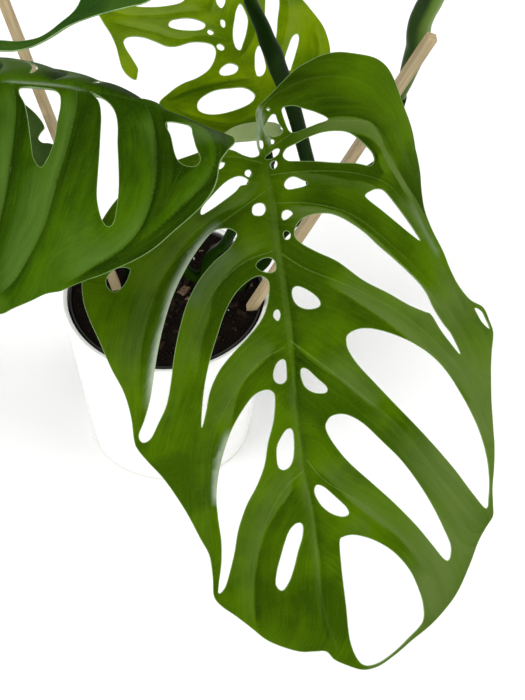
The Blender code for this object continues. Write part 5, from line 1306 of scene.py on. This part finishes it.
coverPot = {
    "height": 0.168, "topRadius": 0.088, "footRadius": 0.072, "wall": 0.004, "floor": 0.006,
    "edge": 0.0016,         # rounding of the rim
    "footEdge": 0.0022,     # rounding of the foot
    "sides": 144,
    "glaze": (0.80, 0.80, 0.78),
    "clay": (0.60, 0.55, 0.48),      # bare ring under the foot, where the glaze is wiped off
}


def makeGlazeLook(pot):
    look, tree, shader = newLook("whiteGlaze", 0.16, {"Coat Weight": 0.25, "Coat Roughness": 0.08})
    place = objectPlace(tree)
    height = addNode(tree, "SeparateXYZ", {0: place}).outputs["Z"]
    cloud = addNoise(tree, place, 34.0, 4.0)
    glaze = mixColour(tree, band(tree, cloud, 0.4, 0.62), (*pot["glaze"], 1),
                      (*(c * 0.955 for c in pot["glaze"]), 1))
    speck = addNode(tree, "TexVoronoi", {"Vector": place, "Scale": 210.0}).outputs["Distance"]
    glaze = mixColour(tree, band(tree, speck, 0.03, 0.06, 0.25, 0.0), glaze, (0.42, 0.38, 0.32, 1))
    ragged = calc(tree, "MULTIPLY_ADD", calc(tree, "SUBTRACT", cloud, 0.5), 0.0012, height)
    bare = band(tree, ragged, 0.0004, 0.0011, 1.0, 0.0)
    colour = mixColour(tree, bare, glaze, (*pot["clay"], 1))
    tree.links.new(colour, shader.inputs["Base Color"])
    tree.links.new(calc(tree, "MULTIPLY_ADD", bare, 0.6, calc(tree, "MULTIPLY_ADD", cloud, 0.1, 0.1)),
                   shader.inputs["Roughness"])
    addBump(tree, shader, addNoise(tree, place, 60.0, 1.0), 0.12, 0.002)
    return look


def buildCoverPot(pot):
    top, foot, wall, height, floor = (pot[key] for key in ("topRadius", "footRadius", "wall", "height",
                                                         "floor"))
    corners = [(0, 0.0012), (foot - 0.0075, 0.0012), (foot - 0.006, 0), (foot, 0), (top, height),
               (top - wall, height), (foot - wall, floor), (0, floor)]
    radii = [0, 0.0006, 0.0006, pot["footEdge"], pot["edge"], pot["edge"], 0.004, 0]
    spinProfile("coverPot", roundProfile(corners, radii), pot["sides"], "cover_pot",
                makeGlazeLook(pot))
    print("cover pot done")


nurseryPot = {
    "bottom": 0.0063, "height": 0.1605, "topRadius": 0.082, "footRadius": 0.063, "wall": 0.0015,
    "sides": 120,
    "drainCount": 6, "drainRadius": 0.004, "drainCircle": 0.044,
    "plastic": (0.012, 0.012, 0.012), "dust": (0.06, 0.05, 0.04),
}


def makePlasticLook(pot):
    look, tree, shader = newLook("blackPlastic", 0.42)
    place = objectPlace(tree)
    grain, dust = addNoise(tree, place, 900.0, 2.0), addNoise(tree, place, 40.0, 5.0)
    colour = mixColour(tree, band(tree, dust, 0.5, 0.8, 0.0, 0.35), (*pot["plastic"], 1), (*pot["dust"], 1))
    tree.links.new(colour, shader.inputs["Base Color"])
    tree.links.new(calc(tree, "MULTIPLY_ADD", dust, 0.3, 0.3), shader.inputs["Roughness"])
    addBump(tree, shader, grain, 0.2, 0.0004)
    return look


def buildNurseryPot(pot):
    low, top = pot["bottom"], pot["bottom"] + pot["height"]
    foot, lip, wall = pot["footRadius"], pot["topRadius"], pot["wall"]
    corners = [(0, low), (foot, low), (lip, top), (lip - wall, top), (foot - wall, low + wall),
               (0, low + wall)]
    profile = roundProfile(corners, [0, 0.001, 0.0006, 0.0006, 0.001, 0])
    piece = spinProfile("nurseryPot", profile, pot["sides"], "nursery_pot",
                        makePlasticLook(pot))
    drains = bmesh.new()
    for number in range(pot["drainCount"]):
        turn = math.tau * (number + 0.5) / pot["drainCount"]
        made = bmesh.ops.create_cone(drains, cap_ends=True, segments=32, radius1=pot["drainRadius"],
                                     radius2=pot["drainRadius"], depth=4 * wall)
        bmesh.ops.translate(drains, vec=(pot["drainCircle"] * math.cos(turn),
                                         pot["drainCircle"] * math.sin(turn), low), verts=made["verts"])
    mesh = bpy.data.meshes.new("drains")
    drains.to_mesh(mesh)
    drains.free()
    cutter = bpy.data.objects.new("drains", mesh)
    bpy.context.scene.collection.objects.link(cutter)
    cut = piece.modifiers.new("drains", "BOOLEAN")
    cut.operation = "DIFFERENCE"
    cut.object = cutter
    applyModifiers(piece)
    bpy.data.objects.remove(cutter)
    print("nursery pot done")


pottingSoil = {
    "topRadius": 0.0796, "footRadius": 0.0608, "bottom": 0.0081,
    "sides": 96, "rings": 34,
    "lump": 0.0016,         # height of the lumps
    "fineLump": 0.0007,     # height of the fine relief on them
    "seed": 5,
    "crumbs": 1500, "crumbSize": (0.0009, 0.0024),
    "chips": 150, "chipSize": (0.004, 0.011),
    "grits": 13, "gritSize": (0.0012, 0.0022),
    "chipThickness": 0.22, "dent": 0.13,      # as shares of a crumb's size
    "lift": 0.0004,         # height of the crumbs' middles over the soil
    "stemRoom": 0.0075, "stickRoom": 0.0065,      # crumbs keep this far from the middle of stems and sticks
}


def makeSoilLook():
    # "tone" says what a crumb is: 0 to 0.7 dark peat to brown bark, then pale wood, and 1 white grit
    look, tree, shader = newLook("darkSoil", 0.92, {"Specular IOR Level": 0.06})
    tone = attribute(tree, "tone").outputs["Fac"]
    fine = addNoise(tree, objectPlace(tree), 420.0, 4.0)
    ramp = addNode(tree, "ValToRGB", {"Fac": tone})
    steps = ramp.color_ramp.elements
    steps[0].color = (0.0028, 0.0018, 0.0014, 1)
    steps[1].position, steps[1].color = 1.0, (0.75, 0.73, 0.68, 1)
    for position, colour in ((0.35, (0.0075, 0.0045, 0.003, 1)), (0.6, (0.030, 0.017, 0.010, 1)),
                             (0.8, (0.17, 0.11, 0.065, 1)), (0.9, (0.36, 0.28, 0.20, 1))):
        steps.new(position).color = colour
    colour = mixColour(tree, band(tree, fine, 0.35, 0.7, 0.0, 0.75), ramp.outputs["Color"],
                       (0.004, 0.0028, 0.002, 1))
    tree.links.new(colour, shader.inputs["Base Color"])
    addBump(tree, shader, fine, 0.7, 0.0015)
    return look


def buildSoil(soil, keepClear):
    # keepClear: (x, y, radius) of what stands in the soil
    top, low = soilLevel, soil["bottom"]
    bm = bmesh.new()
    tone = bm.verts.layers.float.new("tone")
    bmesh.ops.create_cone(bm, cap_ends=False, segments=soil["sides"], radius1=soil["footRadius"],
                          radius2=soil["topRadius"], depth=top - low)
    bmesh.ops.translate(bm, vec=(0, 0, (top + low) / 2), verts=bm.verts)
    rims = [edge for edge in bm.edges if edge.is_boundary]
    base = [edge for edge in rims if edge.verts[0].co.z < (top + low) / 2]
    ring = [edge for edge in rims if edge not in base]
    bmesh.ops.edgeloop_fill(bm, edges=base)
    for level in range(soil["rings"] - 1, 0, -1):
        made = bmesh.ops.extrude_edge_only(bm, edges=ring)["geom"]
        ring = [item for item in made if isinstance(item, bmesh.types.BMEdge)]
        shrink = level / (level + 1)
        bmesh.ops.scale(bm, vec=(shrink, shrink, 1), verts=[item for item in made
                                                            if isinstance(item, bmesh.types.BMVert)])
    bmesh.ops.edgeloop_fill(bm, edges=ring)
    for vert in bm.verts:
        x, y, z = vert.co
        if z > top - mm and math.hypot(x, y) < 0.97 * soil["topRadius"]:
            relief = noise.fractal((x * 350, y * 350, 0), 1.0, 2.0, 3)
            vert.co.z = soilHeight(x, y) + soil["fineLump"] * relief
        vert[tone] = 0.22 + 0.3 * noise.noise((x * 120, y * 120, 3))
    draw = np.random.default_rng(soil["seed"])
    noise.seed_set(soil["seed"])      # noise_vector, which dents the crumbs, draws its offsets by this
    kinds = [("chip", soil["chips"], soil["chipSize"]), ("grit", soil["grits"], soil["gritSize"]),
             ("crumb", soil["crumbs"], soil["crumbSize"])]
    for kind, count, (small, large) in kinds:
        for _ in range(count):
            turn, reach = draw.uniform(0, math.tau), math.sqrt(draw.uniform(0, 1))
            size = small + (large - small) * draw.uniform(0, 1) ** 2
            reach *= soil["topRadius"] - 0.6 * size - 0.001
            x, y = reach * math.cos(turn), reach * math.sin(turn)
            tilts = draw.uniform(-1, 1, 3)
            trait = draw.uniform(0, 1)
            if any(math.hypot(x - cx, y - cy) < radius + 0.55 * size for cx, cy, radius in keepClear):
                continue
            if kind == "chip":
                made = bmesh.ops.create_cube(bm, size=1.0)["verts"]
                bmesh.ops.scale(bm, vec=(size, size * (0.35 + 0.3 * trait), size * soil["chipThickness"]),
                                verts=made)
                turnBy = (Matrix.Rotation(tilts[0] * math.pi, 3, "Z")
                          @ Matrix.Rotation(tilts[1] * 0.35, 3, "X"))
                value = 0.40 + 0.22 * trait if trait < 0.88 else 0.72 + 0.6 * (trait - 0.88)
                edges = list(dict.fromkeys(edge for vert in made for edge in vert.link_edges))
                made = bmesh.ops.bevel(bm, geom=edges, offset=size * 0.05, segments=1, affect="EDGES",
                                       profile=0.5, material=-1)["verts"]
            else:
                made = bmesh.ops.create_icosphere(bm, subdivisions=1, radius=size * 0.62)["verts"]
                bmesh.ops.scale(bm, vec=(1, 0.75 + 0.2 * trait, 0.7), verts=made)
                turnBy = (Matrix.Rotation(tilts[0] * math.pi, 3, "Z") @ Matrix.Rotation(tilts[1], 3, "X")
                          @ Matrix.Rotation(tilts[2], 3, "Y"))
                value = 1.0 if kind == "grit" else 0.08 + 0.5 * trait
            for vert in made:      # each crumb is dented in its own way
                dent = noise.noise_vector(vert.co / size * 1.3 + Vector((turn * 9, x, y)))
                vert.co += soil["dent"] * size * Vector(dent)
                vert[tone] = value
            bmesh.ops.rotate(bm, cent=(0, 0, 0), matrix=turnBy, verts=made)
            bmesh.ops.translate(bm, vec=(x, y, soilHeight(x, y) + soil["lift"]), verts=made)
    bmesh.ops.recalc_face_normals(bm, faces=bm.faces)
    piece = finishPiece("pottingSoil", bm, "soil", [makeSoilLook()])
    piece.data.set_sharp_from_angle(angle=math.radians(35))
    print(f"potting soil: {len(piece.data.polygons)} faces")


def soilHeight(x, y):
    return soilLevel + pottingSoil["lump"] * noise.noise(Vector((x, y, 0)) / 0.016)


sticks = {
    # name: (node, where it enters the soil, top), in millimetres
    "stickRight": ("stake_right", (72, -18, 0), (209, -18, 298)),
    "stickLeft": ("stake_left", (-42, 12, 0), (-120, 3, 379)),
    "side": 8 * mm, "depth": 70 * mm, "edge": 0.5 * mm,
    "wave": 0.2 * mm,       # height of the saw's waves
    "cuts": 40,             # rings of points that carry them
    "wood": (0.35, 0.27, 0.15), "grain": (0.27, 0.19, 0.095), "pale": (0.43, 0.345, 0.20),
}


def makeWoodLook(name, run):
    # straight-grained pale wood; run is the way the stick points
    look, tree, shader = newLook(name, 0.6, {"Specular IOR Level": 0.3})
    turn = run.to_track_quat("Z", "Y").inverted().to_euler()
    along = addNode(tree, "Mapping", {"Vector": objectPlace(tree), "Rotation": turn}).outputs[0]
    fibre = addNode(tree, "VectorMath", {0: along, 1: (1.0, 1.0, 0.035)}, operation="MULTIPLY").outputs[0]
    fine, broad = addNoise(tree, fibre, 1500.0, 3.0), addNoise(tree, fibre, 330.0, 2.0)
    colour = mixColour(tree, band(tree, fine, 0.38, 0.7), (*sticks["wood"], 1), (*sticks["grain"], 1))
    colour = mixColour(tree, band(tree, broad, 0.4, 0.65, 0.0, 0.7), colour, (*sticks["pale"], 1))
    tree.links.new(colour, shader.inputs["Base Color"])
    addBump(tree, shader, fine, 0.35, 0.0006)
    return look


def buildStick(name):
    node, foot, top = sticks[name]
    foot, top = overSoil(foot), overSoil(top)
    run = (top - foot).normalized()
    length = (top - foot).length + sticks["depth"]
    bm = bmesh.new()
    bmesh.ops.create_cube(bm, size=1.0)
    bmesh.ops.scale(bm, vec=(sticks["side"], sticks["side"], length), verts=bm.verts)
    bmesh.ops.bevel(bm, geom=bm.edges, offset=sticks["edge"], segments=3, affect="EDGES", profile=0.5,
                    material=-1)
    for share in np.linspace(-0.48, 0.48, sticks["cuts"]):
        bmesh.ops.bisect_plane(bm, geom=[*bm.verts, *bm.edges, *bm.faces], plane_co=(0, 0, share * length),
                               plane_no=(0, 0, 1))
    for vert in bm.verts:      # hardly seen waves of a sawn stick
        wave = noise.noise((vert.co.z * 22, 0, length * 50))
        vert.co.x += sticks["wave"] * wave * (1 if vert.co.x > 0 else -1)
        vert.co.y += sticks["wave"] * noise.noise((vert.co.z * 18, 7, 0))
    bmesh.ops.translate(bm, vec=(0, 0, length / 2), verts=bm.verts)
    bmesh.ops.rotate(bm, cent=(0, 0, 0), matrix=run.to_track_quat("Z", "Y").to_matrix(), verts=bm.verts)
    bmesh.ops.translate(bm, vec=foot - run * sticks["depth"], verts=bm.verts)
    piece = finishPiece(name, bm, node, [makeWoodLook(name + "Wood", run)])
    piece.data.set_sharp_from_angle(angle=math.radians(40))
    print(name, "done")


studio = {
    "floor": (0.97, 0.97, 0.965), "floorSize": 8.0,
    "sky": (1.0, 1.0, 1.0), "skyStrength": 0.32,
    # name: (place, aim, size, watts)
    "leftBox": ((-2.0, -1.2, 1.05), (0, -0.1, 0.3), 1.8, 57),
    "rightBox": ((2.1, -0.7, 1.0), (0, -0.1, 0.3), 1.8, 42),
    "topBox": ((-0.3, -0.6, 2.7), (0, 0, 0.3), 1.8, 46),
    "lens": 120.857, "camera": (0, -1.33306494, 1.655952), "aim": (0.07986757, -0.03769751, 0.13129454),
}


def lookAt(place, aim):
    return (Vector(aim) - Vector(place)).to_track_quat("-Z", "Y").to_euler()


def buildStudio(studio):
    scene = bpy.context.scene
    scene.view_settings.view_transform = "Standard"
    bm = bmesh.new()
    bmesh.ops.create_grid(bm, x_segments=1, y_segments=1, size=studio["floorSize"])
    mesh = bpy.data.meshes.new("studioFloor")
    bm.to_mesh(mesh)
    bm.free()
    floor = bpy.data.objects.new("studioFloor", mesh)
    scene.collection.objects.link(floor)
    look, tree, shader = newLook("studioFloor", 0.7, {"Specular IOR Level": 0.1})
    shader.inputs["Base Color"].default_value = (*studio["floor"], 1)
    mesh.materials.append(look)
    world = bpy.data.worlds.new("studioSky")
    world.use_nodes = True
    scene.world = world
    sky = world.node_tree.nodes["Background"].inputs
    sky["Color"].default_value = (*studio["sky"], 1)
    sky["Strength"].default_value = studio["skyStrength"]
    for name in ("leftBox", "rightBox", "topBox"):
        place, aim, size, power = studio[name]
        light = bpy.data.lights.new(name, "AREA")
        light.size = size
        light.energy = power
        lamp = bpy.data.objects.new(name, light)
        lamp.location = place
        lamp.rotation_euler = lookAt(place, aim)
        scene.collection.objects.link(lamp)
    camera = bpy.data.cameras.new("camera")
    camera.sensor_fit = "VERTICAL"
    camera.sensor_height = 36
    camera.lens = studio["lens"]
    camera.clip_end = 50
    eye = bpy.data.objects.new("camera", camera)
    eye.location = studio["camera"]
    eye.rotation_euler = lookAt(studio["camera"], studio["aim"])
    scene.collection.objects.link(eye)
    scene.camera = eye
    print("studio done")


buildRolledLeaf(newLeaf)
buildCoverPot(coverPot)
buildNurseryPot(nurseryPot)
standing = [(*overSoil(stem["stem"][0]).xy, pottingSoil["stemRoom"])
            for stem in (leftStem, middleStem, rightStem)]
standing += [(*overSoil(sticks[name][1]).xy, pottingSoil["stickRoom"])
             for name in ("stickRight", "stickLeft")]
buildSoil(pottingSoil, standing)
for name in ("stickRight", "stickLeft"):
    buildStick(name)
buildStudio(studio)
